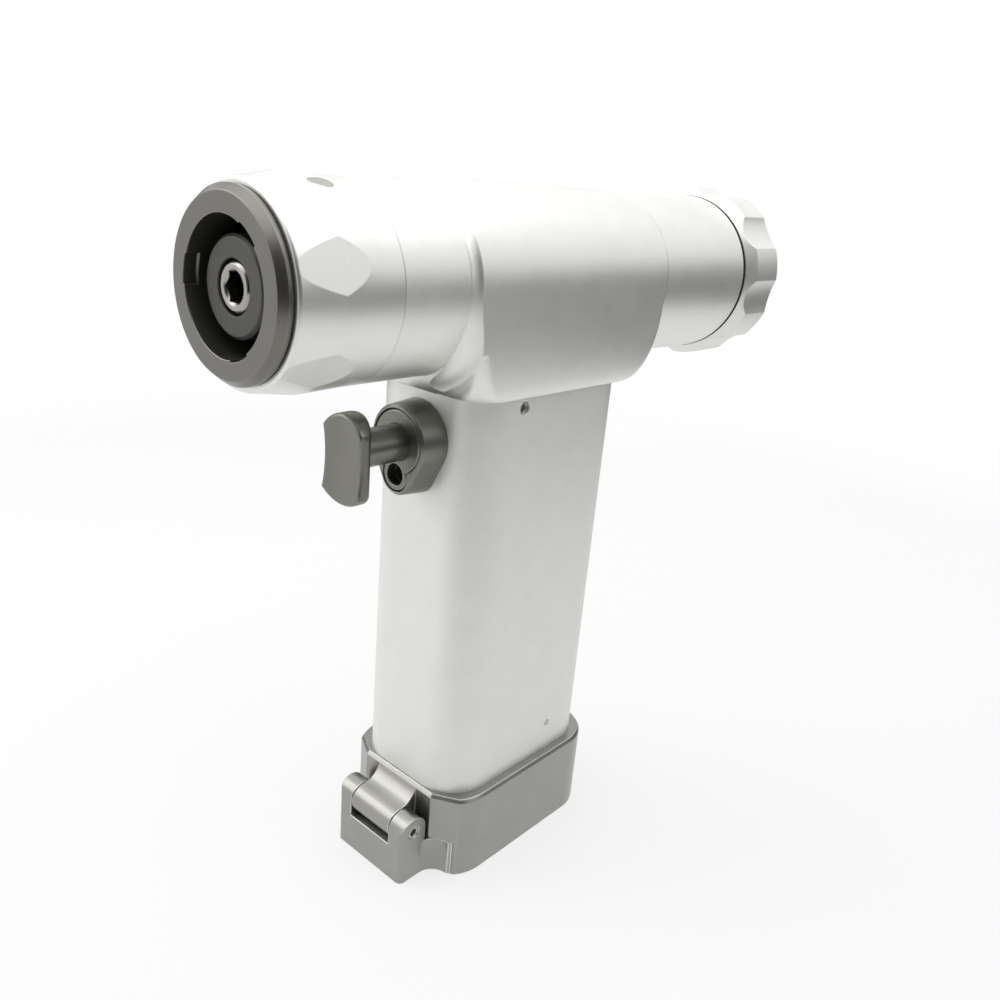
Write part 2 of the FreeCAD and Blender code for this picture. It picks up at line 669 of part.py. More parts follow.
def planet_carrier():
    """Front disc of the carrier with three posts between the planets."""
    body = ring(CARRIER_Y, CARRIER_Y + CARRIER_DISC, CARRIER_RADIUS, SPINDLE_TAIL_RADIUS)
    planet_tip = MODULE * (PLANET_TEETH / 2 + ADDENDUM)
    posts = ring(CARRIER_Y + CARRIER_DISC, PLATE_Y, CARRIER_RADIUS, sun_clear_radius())
    for index in range(PLANETS):
        centre = vec(CARRIER_PITCH, CARRIER_Y + CARRIER_DISC, AXIS_HEIGHT)
        room = rod(centre, ALONG, GEAR_WIDTH + 2 * APART, planet_tip + APART)
        posts = posts.cut(around_axis(room, index * 360 / PLANETS))
    kept = [solid for solid in posts.Solids if solid.Volume > MODULE ** 3]
    return body.multiFuse(kept).cut(planet_pins()).removeSplitter()


def sun_clear_radius():
    return MODULE * (SUN_TEETH / 2 + ADDENDUM) + APART


def carrier_plate():
    body = ring(PLATE_Y, PLATE_Y + CARRIER_PLATE, CARRIER_RADIUS, CARRIER_PLATE_OPENING)
    return body.cut(planet_pins())


# Motor

def motor_shaft():
    return disc(GEAR_Y, MOTOR_BACK_Y, MOTOR_SHAFT_RADIUS)


def motor_middle():
    front = MOTOR_Y + MOTOR_FRONT_PLATE
    rear = MOTOR_BACK_Y - MOTOR_REAR_PLATE
    return (front + rear) / 2


def motor_can():
    start = MOTOR_Y + MOTOR_FRONT_PLATE
    return ring(start, MOTOR_BACK_Y - MOTOR_REAR_PLATE, BARREL_BORE, BARREL_BORE - MOTOR_WALL)


def motor_stator():
    """Laminated core with winding slots open to the rotor."""
    start = motor_middle() - STATOR_LENGTH / 2
    body = ring(start, start + STATOR_LENGTH, BARREL_BORE - MOTOR_WALL, STATOR_BORE)
    half = STATOR_SLOT_WIDTH / 2
    slot = box(STATOR_BORE - 1, STATOR_BORE + STATOR_SLOT_DEPTH, start - 1, start + STATOR_LENGTH + 1,
               AXIS_HEIGHT - half, AXIS_HEIGHT + half)
    slots = [around_axis(slot, index * 360 / STATOR_SLOTS) for index in range(STATOR_SLOTS)]
    return body.cut(Part.makeCompound(slots))


def motor_rotor():
    start = motor_middle() - ROTOR_LENGTH / 2
    return ring(start, start + ROTOR_LENGTH, ROTOR_RADIUS, MOTOR_SHAFT_RADIUS)


def motor_plate(y, width, pocket_y):
    """End plate with a bearing pocket, a shaft hole and a ring of screw holes."""
    body = disc(y, y + width, BARREL_BORE)
    body = body.cut(disc(pocket_y, pocket_y + MOTOR_BEARING_WIDTH, MOTOR_BEARING_RADIUS))
    body = body.cut(disc(y - 1, y + width + 1, MOTOR_SHAFT_RADIUS + APART))
    holes = []
    for index in range(MOTOR_PLATE_HOLES):
        start = vec(MOTOR_PLATE_PITCH, y - 1, AXIS_HEIGHT)
        holes.append(around_axis(rod(start, ALONG, width + 2, MOTOR_PLATE_HOLE),
                                 (index + 0.5) * 360 / MOTOR_PLATE_HOLES))
    return body.cut(Part.makeCompound(holes))


def motor_front_plate():
    return motor_plate(MOTOR_Y, MOTOR_FRONT_PLATE, MOTOR_Y + MOTOR_FRONT_PLATE - MOTOR_BEARING_WIDTH)


def motor_rear_plate():
    start = MOTOR_BACK_Y - MOTOR_REAR_PLATE
    return motor_plate(start, MOTOR_REAR_PLATE, start)


def motor_bearing(y):
    return ring(y, y + MOTOR_BEARING_WIDTH, MOTOR_BEARING_RADIUS, MOTOR_SHAFT_RADIUS + RUN)


def motor_board():
    return ring(MOTOR_BOARD_Y, MOTOR_BOARD_Y + BOARD_THICK, BARREL_BORE, MOTOR_BOARD_HOLE).fuse(
        ring(MOTOR_BACK_Y, MOTOR_BOARD_Y, BARREL_BORE, BARREL_BORE - CLAMP_WALL))


def clamp_sleeve():
    """Sleeve that holds the motor forward when the knob is closed, open below for the wires."""
    start = MOTOR_BOARD_Y + BOARD_THICK
    body = ring(start, KNOB_SPIGOT_Y - APART, BARREL_BORE, BARREL_BORE - CLAMP_WALL)
    return body


# Knob

def knob_outer():
    body = turned([
        (KNOB_Y, 0), (KNOB_Y, KNOB_NECK_RADIUS), (KNOB_Y + KNOB_FRONT_TAPER, KNOB_RADIUS),
        (KNOB_END_Y - KNOB_REAR_CHAMFER, KNOB_RADIUS), (KNOB_END_Y, KNOB_RADIUS - KNOB_REAR_CHAMFER),
        (KNOB_END_Y, 0)])
    half = math.radians(KNOB_SCALLOP_ANGLE / 2)
    reach = KNOB_RADIUS * math.cos(half)
    sink = math.sqrt(KNOB_SCALLOP_RADIUS ** 2 - (KNOB_RADIUS * math.sin(half)) ** 2)
    scallop = rod(vec(reach + sink, KNOB_Y - 1, AXIS_HEIGHT), ALONG, KNOB_LENGTH + 2, KNOB_SCALLOP_RADIUS)
    cutters = []
    for index in range(KNOB_LOBES):
        angle = KNOB_LOBE_CLOCK + (index + 0.5) * 360 / KNOB_LOBES
        cutters.append(around_axis(scallop, angle))
    return body.cut(Part.makeCompound(cutters))


def end_knob():
    """Hollow cap with eight lobes, a dished end and a spigot that turns in the barrel."""
    body = knob_outer().fuse(disc(KNOB_SPIGOT_Y, KNOB_Y + 1, KNOB_SPIGOT_RADIUS))
    hollow = disc(KNOB_SPIGOT_Y - 1, KNOB_END_Y - KNOB_END_WALL, KNOB_HOLLOW_RADIUS)
    dish = turned([(KNOB_END_Y - KNOB_DISH_DEPTH, 0), (KNOB_END_Y - KNOB_DISH_DEPTH, KNOB_DISH_RADIUS),
                   (KNOB_END_Y, KNOB_DISH_RADIUS + KNOB_DISH_DEPTH), (KNOB_END_Y + 1, KNOB_DISH_RADIUS),
                   (KNOB_END_Y + 1, 0)])
    return body.cut(hollow).cut(dish)


def knob_seal():
    middle = REAR_REACH + SEAT
    return turned([(middle, KNOB_SPIGOT_RADIUS), (middle, SEAL_RING_RADIUS - SEAT),
                   (middle + SEAT, SEAL_RING_RADIUS), (KNOB_Y - SEAT, SEAL_RING_RADIUS),
                   (KNOB_Y, SEAL_RING_RADIUS - SEAT), (KNOB_Y, KNOB_SPIGOT_RADIUS)])


# Head

def block_wire(t, z, forward):
    """Plan of the saddle block; t runs from 0 at its lower edge to 1 where its sides are upright."""
    half_x = BLOCK_LOW_HALF_WIDTH + (BLOCK_HALF_WIDTH - BLOCK_LOW_HALF_WIDTH) * t
    front = BLOCK_LOW_FRONT + (BLOCK_FRONT + forward - BLOCK_LOW_FRONT) * t
    rear = BLOCK_LOW_REAR + (BLOCK_REAR - BLOCK_LOW_REAR) * t
    corner = BLOCK_LOW_CORNER + (BLOCK_CORNER - BLOCK_LOW_CORNER) * t
    return plan_wire(half_x, -front, rear, corner, z)


def block_body(forward):
    """Block rounded in towards its lower edge, with its front moved forward by the given length."""
    wires = []
    for index in range(BLOCK_SECTIONS):
        angle = math.pi / 2 * index / (BLOCK_SECTIONS - 1)
        height = BLOCK_BOTTOM + BLOCK_ROUND_HEIGHT * (1 - math.cos(angle))
        wires.append(block_wire(math.sin(angle), height, forward))
    lower = Part.makeLoft(wires, True, False)
    start = BLOCK_BOTTOM + BLOCK_ROUND_HEIGHT
    upper = Part.Face(block_wire(1, start, forward)).extrude(vec(0, 0, AXIS_HEIGHT + BLOCK_HALF_WIDTH + 1 - start))
    reach = BLOCK_REAR + forward + 1
    crown = disc(-reach, reach, BLOCK_HALF_WIDTH).fuse(
        box(-BLOCK_HALF_WIDTH, BLOCK_HALF_WIDTH, -reach, reach, BLOCK_BOTTOM, AXIS_HEIGHT))
    return lower.fuse(upper.common(crown))


def barrel_flare():
    """Hollow sweep round the barrel that runs out into the block's front."""
    tip = -BLOCK_FRONT - BLOCK_FLARE
    low = BARREL_RADIUS - BLOCK_CORNER
    high = BARREL_RADIUS + BLOCK_FLARE
    back = -BLOCK_FRONT + BLOCK_CORNER * 2
    middle = BLOCK_FLARE * (1 - math.sqrt(0.5))
    edges = [
        Part.Arc(vec(0, tip, AXIS_HEIGHT + BARREL_RADIUS),
                 vec(0, -BLOCK_FRONT - middle, AXIS_HEIGHT + BARREL_RADIUS + middle),
                 vec(0, -BLOCK_FRONT, AXIS_HEIGHT + high)).toShape(),
        Part.LineSegment(vec(0, -BLOCK_FRONT, AXIS_HEIGHT + high), vec(0, back, AXIS_HEIGHT + high)).toShape(),
        Part.LineSegment(vec(0, back, AXIS_HEIGHT + high), vec(0, back, AXIS_HEIGHT + low)).toShape(),
        Part.LineSegment(vec(0, back, AXIS_HEIGHT + low), vec(0, tip, AXIS_HEIGHT + low)).toShape(),
        Part.LineSegment(vec(0, tip, AXIS_HEIGHT + low), vec(0, tip, AXIS_HEIGHT + BARREL_RADIUS)).toShape(),
    ]
    sweep = Part.Face(Part.Wire(edges)).revolve(AXIS, ALONG, 360)
    return sweep.common(block_body(BLOCK_FLARE - BLOCK_FLARE_CUT))


def head_outer():
    barrel = turned([
        (NOSE_END_Y, 0), (NOSE_END_Y, BARREL_RADIUS), (0, BARREL_RADIUS), (0, BLOCK_HALF_WIDTH - SEAT),
        (BLOCK_REAR, BLOCK_HALF_WIDTH - SEAT), (REAR_REACH - CAP_BEVEL / 2, BARREL_REAR_RADIUS),
        (REAR_REACH, BARREL_REAR_RADIUS - CAP_BEVEL / 2), (REAR_REACH, 0)])
    return barrel.fuse(block_body(0)).fuse(barrel_flare())


def head_housing():
    """Barrel, saddle block and the neck that reaches into the grip."""
    neck = grip_slab(GRIP_WALL, BLOCK_BOTTOM - NECK_DEPTH, BLOCK_BOTTOM + 1)
    socket = grip_slab(0, BLOCK_BOTTOM - 1, GRIP_TOP)
    inside = grip_slab(GRIP_WALL, BLOCK_BOTTOM - 2, GRIP_TOP + 1)
    body = head_outer().cut(socket.cut(inside)).fuse(neck)
    hollow = grip_slab(GRIP_WALL + NECK_WALL, BLOCK_BOTTOM - NECK_DEPTH - 1, BLOCK_BOTTOM + 1)
    wires = slab(WIRE_SLOT_HALF, -WIRE_SLOT_LENGTH, WIRE_SLOT_LENGTH, WIRE_SLOT_HALF / 2,
                 BLOCK_BOTTOM, AXIS_HEIGHT)
    bore = turned([
        (NOSE_END_Y - 1, 0), (NOSE_END_Y - 1, BARREL_BORE + SPIGOT_WALL),
        (NOSE_END_Y + SPIGOT_LENGTH, BARREL_BORE + SPIGOT_WALL), (NOSE_END_Y + SPIGOT_LENGTH, BARREL_BORE),
        (KNOB_SPIGOT_Y - APART, BARREL_BORE), (KNOB_SPIGOT_Y - APART, KNOB_SPIGOT_RADIUS + RUN),
        (REAR_REACH + 1, KNOB_SPIGOT_RADIUS + RUN), (REAR_REACH + 1, 0)])
    nut_room = rod(vec(0, -GRIP_HALF_DEPTH, TRIGGER_HEIGHT), ALONG, GRIP_HALF_DEPTH / 2, BOSS_NUT_RADIUS + APART)
    return body.cut(hollow).cut(wires).cut(bore).cut(nut_room).cut(grip_screw_blanks())


# Grip

def grip_screw_blanks():
    height = BLOCK_BOTTOM - GRIP_SCREW_DROP
    reach = GRIP_HALF_WIDTH - GRIP_WALL - NECK_WALL
    right = rod(vec(reach, GRIP_SCREW_Y, height), vec(1, 0, 0), GRIP_HALF_WIDTH, GRIP_SCREW_RADIUS)
    left = rod(vec(-reach, GRIP_SCREW_Y, height), vec(-1, 0, 0), GRIP_HALF_WIDTH, GRIP_SCREW_RADIUS)
    return Part.makeCompound([right, left])


def grip_screws():
    """Set screws through the tube into the neck, sunk below the surface."""
    height = BLOCK_BOTTOM - GRIP_SCREW_DROP
    reach = GRIP_HALF_WIDTH - GRIP_WALL - NECK_WALL
    length = GRIP_WALL + NECK_WALL - GRIP_SCREW_SINK
    screws = []
    for side in (1, -1):
        body = rod(vec(side * reach, GRIP_SCREW_Y, height), vec(side, 0, 0), length, GRIP_SCREW_RADIUS)
        socket = rod(vec(side * (reach + length - 1), GRIP_SCREW_Y, height), vec(side, 0, 0), 2, GRIP_SCREW_HEX)
        screws.append(body.cut(socket))
    return Part.makeCompound(screws)


def cap_pins():
    pins = []
    reach = GRIP_HALF_WIDTH - GRIP_WALL - CAP_WALL / 2
    for side in (1, -1):
        start = vec(side * reach, CAP_PIN_Y, CAP_PIN_HEIGHT)
        pins.append(rod(start, vec(side, 0, 0), GRIP_HALF_WIDTH - reach, CAP_PIN_RADIUS))
    return Part.makeCompound(pins)


def grip_tube():
    body = grip_slab(0, GRIP_FOOT, GRIP_TOP).cut(grip_slab(GRIP_WALL, GRIP_FOOT - 1, GRIP_TOP + 1))
    spigot = rod(vec(0, -GRIP_HALF_DEPTH - 1, TRIGGER_HEIGHT), ALONG, GRIP_WALL + 2, BOSS_SPIGOT_RADIUS)
    return body.cut(grip_screw_blanks()).cut(cap_pins()).cut(spigot)


# Trigger

def pad_outline():
    """Front view of the finger pad: upright sides and arched ends."""
    middle = TRIGGER_HEIGHT - PAD_DROP
    half = PAD_HALF_WIDTH
    arch = PAD_END_RADIUS - math.sqrt(PAD_END_RADIUS ** 2 - half ** 2)
    top = middle + PAD_HALF_HEIGHT
    low = middle - PAD_HALF_HEIGHT
    y = PAD_FRONT_Y - 1
    edges = [
        Part.Arc(vec(half, y, top - arch), vec(0, y, top), vec(-half, y, top - arch)).toShape(),
        Part.LineSegment(vec(-half, y, top - arch), vec(-half, y, low + arch)).toShape(),
        Part.Arc(vec(-half, y, low + arch), vec(0, y, low), vec(half, y, low + arch)).toShape(),
        Part.LineSegment(vec(half, y, low + arch), vec(half, y, top - arch)).toShape(),
    ]
    return Part.Face(Part.Wire(edges)).extrude(vec(0, PAD_THICK + 2, 0))


def trigger():
    """Saddle shaped pad on a round rod: hollow for the finger in front, crowned behind."""
    middle = TRIGGER_HEIGHT - PAD_DROP
    back = PAD_FRONT_Y + PAD_THICK
    pad = pad_outline()
    crown = rod(vec(0, back - PAD_BACK_RADIUS, middle - 2 * PAD_HALF_HEIGHT), vec(0, 0, 1),
                4 * PAD_HALF_HEIGHT, PAD_BACK_RADIUS)
    saddle = rod(vec(-2 * PAD_HALF_WIDTH, PAD_FRONT_Y + PAD_HOLLOW_DEPTH - PAD_HOLLOW_RADIUS, middle),
                 vec(1, 0, 0), 4 * PAD_HALF_WIDTH, PAD_HOLLOW_RADIUS)
    groove = rod(vec(0, PAD_FRONT_Y + PAD_HOLLOW_DEPTH - PAD_FRONT_RADIUS, middle - 2 * PAD_HALF_HEIGHT),
                 vec(0, 0, 1), 4 * PAD_HALF_HEIGHT, PAD_FRONT_RADIUS)
    pad = pad.common(crown).cut(saddle).cut(groove)
    stem = rod(vec(0, back - TRIGGER_ROD_RADIUS, TRIGGER_HEIGHT), ALONG,
               ROD_END_Y - back + TRIGGER_ROD_RADIUS, TRIGGER_ROD_RADIUS)
    clip_groove = Part.makeCompound([clip_blank(CLIP_RADIUS + 1).cut(clip_blank(TRIGGER_ROD_RADIUS - 0.5))])
    return pad.fuse(stem).cut(clip_groove).removeSplitter()


def clip_blank(radius):
    return rod(vec(0, CLIP_Y, TRIGGER_HEIGHT), ALONG, CLIP_WIDTH, radius)


def trigger_clip():
    """Spring clip in the rod's groove that stops it behind the grip's wall."""
    inner = TRIGGER_ROD_RADIUS - 0.5
    body = clip_blank(CLIP_RADIUS).cut(clip_blank(inner))
    opening = box(-inner * 0.8, inner * 0.8, CLIP_Y - 1, CLIP_Y + CLIP_WIDTH + 1,
                  TRIGGER_HEIGHT - 2 * CLIP_RADIUS, TRIGGER_HEIGHT)
    return body.cut(opening)


def trigger_boss():
    """Egg shaped boss on the grip's front with a keyhole pocket and a threaded spigot."""
    back = -GRIP_HALF_DEPTH + GRIP_WALL
    edge = BOSS_Y + BOSS_BEVEL
    body = Part.makeLoft([boss_wire(BOSS_TAPER, edge), boss_wire(0, back)], True, True)
    body = body.fuse(Part.makeLoft([boss_wire(BOSS_TAPER + BOSS_BEVEL, BOSS_Y), boss_wire(BOSS_TAPER, edge)],
                                   True, True))
    body = body.cut(grip_slab(0, GRIP_FOOT, GRIP_TOP))
    spigot = rod(vec(0, BOSS_Y + INSERT_THICK, TRIGGER_HEIGHT), ALONG,
                 BOSS_NUT_Y + BOSS_NUT_THICK - BOSS_Y - INSERT_THICK, BOSS_SPIGOT_RADIUS)
    bore = rod(vec(0, BOSS_Y - 1, TRIGGER_HEIGHT), ALONG, BOSS_HEIGHT * 3, TRIGGER_ROD_RADIUS + RUN)
    return body.fuse(spigot).cut(insert_blank(0)).cut(bore).cut(low_hole())


def insert_blank(gap):
    """Keyhole outline: the circle round the rod and the lobe round the lower hole."""
    start = vec(0, BOSS_Y, TRIGGER_HEIGHT)
    big = rod(start, ALONG, INSERT_THICK, INSERT_RADIUS - gap)
    lobe = rod(start.sub(vec(0, 0, INSERT_LOBE_DROP)), ALONG, INSERT_THICK, INSERT_LOBE_RADIUS - gap)
    return big.fuse(lobe)


def low_hole():
    start = vec(0, BOSS_Y - 1, TRIGGER_HEIGHT - INSERT_LOBE_DROP)
    return rod(start, ALONG, INSERT_HOLE_DEPTH + 1, INSERT_HOLE_RADIUS)


def bevelled_disc(drop, radius):
    """Disc along Y, bevelled at its front."""
    start = vec(0, BOSS_Y, TRIGGER_HEIGHT - drop)
    cone = Part.makeCone(radius - INSERT_BEVEL, radius, INSERT_BEVEL, start, ALONG)
    return cone.fuse(rod(start.add(vec(0, INSERT_BEVEL, 0)), ALONG, INSERT_THICK - INSERT_BEVEL, radius))


def trigger_insert():
    body = bevelled_disc(0, INSERT_RADIUS - RUN)
    body = body.fuse(bevelled_disc(INSERT_LOBE_DROP, INSERT_LOBE_RADIUS - RUN)).removeSplitter()
    bore = rod(vec(0, BOSS_Y - 1, TRIGGER_HEIGHT), ALONG, INSERT_THICK + 2, TRIGGER_ROD_RADIUS + RUN)
    return body.cut(bore).cut(low_hole())


def boss_nut():
    start = vec(0, BOSS_NUT_Y, TRIGGER_HEIGHT)
    body = rod(start, ALONG, BOSS_NUT_THICK, BOSS_NUT_RADIUS)
    return body.cut(rod(start, ALONG, BOSS_NUT_THICK, BOSS_SPIGOT_RADIUS))


def trigger_spring():
    return coil(vec(0, SPRING_Y, TRIGGER_HEIGHT), ALONG, TRIGGER_SPRING_RADIUS - TRIGGER_SPRING_WIRE,
                TRIGGER_SPRING_WIRE, TRIGGER_SPRING_LENGTH, TRIGGER_SPRING_TURNS)


def trigger_magnet():
    return rod(vec(0, ROD_END_Y, TRIGGER_HEIGHT), ALONG, MAGNET_LENGTH, MAGNET_RADIUS)


def trigger_bracket():
    """Upright guide with a spring cup, on a foot that stands on the contact block."""
    outer = TRIGGER_SPRING_RADIUS + APART + BRACKET_WALL / 2
    half = BRACKET_HALF_WIDTH
    back = BRACKET_Y + BRACKET_WALL
    upright = box(-half, half, BRACKET_Y, back, DECK_Z, TRIGGER_HEIGHT)
    crown = rod(vec(0, BRACKET_Y - CUP_DEPTH, TRIGGER_HEIGHT), ALONG, CUP_DEPTH + BRACKET_WALL, outer)
    foot = box(-half, half, back - BRACKET_FOOT, BRACKET_Y, DECK_Z, DECK_Z + BRACKET_WALL)
    cup = rod(vec(0, BRACKET_Y - CUP_DEPTH, TRIGGER_HEIGHT), ALONG, CUP_DEPTH, TRIGGER_SPRING_RADIUS + APART)
    bore = rod(vec(0, BRACKET_Y - 1, TRIGGER_HEIGHT), ALONG, BRACKET_WALL + 2, TRIGGER_ROD_RADIUS + RUN)
    return upright.fuse(crown).fuse(foot).cut(cup).cut(bore).removeSplitter()


# Battery and controller

def battery_slab(inset, z0, z1):
    return slab(BATTERY_HALF_WIDTH - inset, -BATTERY_FRONT + inset, BATTERY_REAR - inset,
                BATTERY_CORNER - inset, z0, z1)


def battery_case():
    top = BATTERY_FOOT + BATTERY_HEIGHT
    return battery_slab(0, BATTERY_FOOT, top).cut(
        battery_slab(BATTERY_WALL, BATTERY_FOOT + BATTERY_WALL, top - BATTERY_WALL))


def battery_cells():
    middle = (BATTERY_REAR - BATTERY_FRONT) / 2
    cells = []
    for index in range(CELLS):
        y = middle + (index - (CELLS - 1) / 2) * (2 * CELL_RADIUS + APART)
        cells.append(rod(vec(0, y, BATTERY_FOOT + BATTERY_WALL), vec(0, 0, 1), CELL_LENGTH, CELL_RADIUS))
    return Part.makeCompound(cells)


def contact_pins():
    top = BATTERY_FOOT + BATTERY_HEIGHT
    pins = []
    for side in (1, -1):
        pins.append(rod(vec(0, side * CONTACT_PITCH, top), vec(0, 0, 1), CONTACT_GAP, CONTACT_RADIUS))
    return Part.makeCompound(pins)


def contact_block():
    return grip_slab(GRIP_WALL, CONTACT_BLOCK_Z, DECK_Z)


def control_board():
    """Controller board with its chips, standing on the contact block."""
    body = box(-BOARD_HALF_WIDTH, BOARD_HALF_WIDTH, BOARD_Y, BOARD_Y + BOARD_THICK, DECK_Z, DECK_Z + BOARD_HEIGHT)
    chips = []
    for row in (0, 1):
        for column in (-1, 0, 1):
            x = column * CHIP_PITCH - CHIP_SIZE / 2
            z = DECK_Z + CHIP_SIZE / 2 + row * 1.5 * CHIP_SIZE
            chips.append(box(x, x + CHIP_SIZE, BOARD_Y + BOARD_THICK, BOARD_Y + BOARD_THICK + CHIP_DEPTH,
                             z, z + CHIP_SIZE))
    return body.multiFuse(chips)


# Battery cap

def cap_outer(inset, z0, z1):
    """The cap's plan, cut flat in front, with a facet at each end of the flat."""
    half_x = GRIP_HALF_WIDTH + CAP_WALL - inset
    half_y = GRIP_HALF_DEPTH + CAP_WALL - inset
    body = slab(half_x, -half_y, half_y, CAP_CORNER - inset, z0, z1)
    front = box(-half_x, half_x, -2 * GRIP_HALF_DEPTH, -CAP_FRONT + inset, z0 - 1, z1 + 1)
    slope = math.radians(CAP_FACET_ANGLE)
    shift = inset * (1 - math.cos(slope)) / math.sin(slope)
    facets = []
    for side in (1, -1):
        near = vec(side * (HINGE_HALF_WIDTH - shift), -CAP_FRONT + inset, z0 - 1)
        far = near.add(vec(side * GRIP_HALF_DEPTH * math.cos(slope), GRIP_HALF_DEPTH * math.sin(slope), 0))
        out = near.add(vec(side * GRIP_HALF_DEPTH, -GRIP_HALF_DEPTH, 0))
        facets.append(Part.Face(Part.makePolygon([near, far, out, near])).extrude(vec(0, 0, z1 - z0 + 2)))
    return body.cut(front).cut(Part.makeCompound(facets))


def ledge_opening(z0, z1):
    """Way through the frame for the battery."""
    gap = CAP_SLEEVE_GAP
    return slab(BATTERY_HALF_WIDTH + gap, -BATTERY_FRONT - gap, BATTERY_REAR + gap, BATTERY_CORNER + gap, z0, z1)


def lug_profile():
    """Side view of the hinge lug: round over the pin, then curving up to the rim."""
    top = CAP_HEIGHT - CAP_BEVEL
    crest = vec(0, HINGE_Y, HINGE_HEIGHT + KNUCKLE_RADIUS)
    rim = vec(0, -CAP_FRONT, top)
    inner = vec(0, -CAP_FRONT + CAP_WALL / 2, top)
    low = vec(0, -CAP_FRONT + CAP_WALL / 2, HINGE_HEIGHT - KNUCKLE_RADIUS)
    under = vec(0, HINGE_Y, HINGE_HEIGHT - KNUCKLE_RADIUS)
    sweep = Part.BezierCurve()
    reach = rim.y - crest.y
    sweep.setPoles([crest, crest.add(vec(0, reach * LUG_EASE, 0)),
                    rim.add(vec(0, -reach * LUG_EASE / 2, -reach * LUG_EASE)), rim])
    edges = [
        sweep.toShape(),
        Part.LineSegment(rim, inner).toShape(),
        Part.LineSegment(inner, low).toShape(),
        Part.LineSegment(low, under).toShape(),
        Part.Arc(under, vec(0, HINGE_Y - KNUCKLE_RADIUS, HINGE_HEIGHT), crest).toShape(),
    ]
    return Part.Face(Part.Wire(edges))


def hinge_lug():
    face = lug_profile()
    face.translate(vec(-LUG_HALF_WIDTH, 0, 0))
    return face.extrude(vec(2 * LUG_HALF_WIDTH, 0, 0))


def hinge_rod(radius, half_length):
    return rod(vec(-half_length, HINGE_Y, HINGE_HEIGHT), vec(1, 0, 0), 2 * half_length, radius)


def catch_blank(gap, y0, y1):
    half = CATCH_HALF_WIDTH + gap
    low = CATCH_Z - CATCH_HEIGHT / 2 - gap
    high = CATCH_Z + CATCH_HEIGHT / 2 + gap
    body = box(-half, half, y0, y1, low, high)
    edges = [edge for edge in body.Edges if edge.BoundBox.XLength < 1e-6 and edge.BoundBox.ZLength < 1e-6]
    return body.makeFillet(CATCH_CORNER, edges)


def cap_frame():
    """Battery housing frame: bevelled rim, grip socket, inner sleeve, lid recess and hinge lug."""
    rim = CAP_HEIGHT - CAP_BEVEL
    body = cap_outer(0, 0, rim).fuse(rim_bevel(rim))
    body = body.cut(grip_slab(-RUN, GRIP_FOOT, CAP_HEIGHT + 1))
    body = body.fuse(grip_slab(GRIP_WALL + RUN, GRIP_FOOT - 1, CAP_SLEEVE_TOP))
    body = body.cut(ledge_opening(LEDGE_Z - 1, CAP_SLEEVE_TOP + 1))
    body = body.cut(lid_recess())
    notch = box(-GRIP_HALF_WIDTH - CAP_WALL, GRIP_HALF_WIDTH + CAP_WALL, -2 * GRIP_HALF_DEPTH,
                -LID_WALL_REAR + SEAT, -1, LID_WALL_HEIGHT + SEAT)
    lug = hinge_lug().cut(grip_slab(-RUN, GRIP_FOOT, CAP_HEIGHT + 1))
    body = body.cut(notch).fuse(lug).cut(hinge_rod(HINGE_PIN_RADIUS, 2 * HINGE_HALF_WIDTH))
    depth = CATCH_BODY + CATCH_TRAVEL
    rear = GRIP_HALF_DEPTH + CAP_WALL
    body = body.cut(catch_blank(RUN, rear - depth, rear + 1))
    slot = CATCH_WINDOW_HALF
    body = body.cut(box(-slot, slot, tongue_y() - TONGUE_GAP, tongue_y() + 2 * TONGUE_THICK, LID_PLATE, CATCH_Z))
    return body.cut(cap_pins()).removeSplitter()


def rim_bevel(rim):
    """Sloping bevel between the cap's wall and the flat top of its rim."""
    low = cap_outer(0, rim - CAP_BEVEL, rim)
    wires = []
    for inset, z in ((0, rim), (CAP_BEVEL * 0.8, CAP_HEIGHT)):
        face = [f for f in cap_outer(inset, z, z + 1).Faces if abs(f.BoundBox.ZMax - z) < 1e-6][0]
        wires.append(face.OuterWire)
    return low.fuse(Part.makeLoft(wires, True, True))


def lid_recess():
    """Room for the lid's plate under the frame's ledge."""
    return grip_slab(0, -1, LEDGE_Z)


def lid_plate():
    """Bottom plate; its front corners are cut back so that it swings clear of the frame's walls."""
    low = grip_slab(RUN * 2, 0, LID_PLATE)
    shifted = grip_slab(RUN * 2, 0, LID_PLATE).translated(vec(0, LID_CORNER_SHIFT, 0))
    half = HINGE_HALF_WIDTH
    web = box(-half, half, -GRIP_HALF_DEPTH, GRIP_HALF_DEPTH, 0, LID_PLATE)
    front = low.common(shifted.fuse(web))
    return front.cut(box(-GRIP_HALF_WIDTH, GRIP_HALF_WIDTH, -2 * GRIP_HALF_DEPTH, -LID_WALL_REAR, -1, LID_PLATE + 1))


def lid_front():
    """Hinge block, lower front wall and the hollow scoops beside the block."""
    half = HINGE_HALF_WIDTH
    front = HINGE_Y - KNUCKLE_RADIUS
    block = box(-half, half, front, HINGE_Y + KNUCKLE_RADIUS, 0, HINGE_HEIGHT)
    block = block.fuse(hinge_rod(KNUCKLE_RADIUS, half))
    block = block.fuse(box(-half, half, front, -LID_WALL_REAR, 0, LID_WALL_HEIGHT))
    slot = box(-LUG_HALF_WIDTH - APART, LUG_HALF_WIDTH + APART, front - 1, -LID_WALL_REAR,
               HINGE_HEIGHT - KNUCKLE_RADIUS - APART, HINGE_HEIGHT + 2 * KNUCKLE_RADIUS)
    plan = slab(half, front, 0, HINGE_EDGE, 0, HINGE_HEIGHT + KNUCKLE_RADIUS)
    block = block.common(plan).cut(slot)
    wall = cap_outer(0, 0, LID_WALL_HEIGHT).common(
        box(-GRIP_HALF_WIDTH, GRIP_HALF_WIDTH, -2 * GRIP_HALF_DEPTH, -LID_WALL_REAR, 0, LID_WALL_HEIGHT))
    return block.fuse(wall.multiFuse(lid_ears()).cut(lid_scoops()))


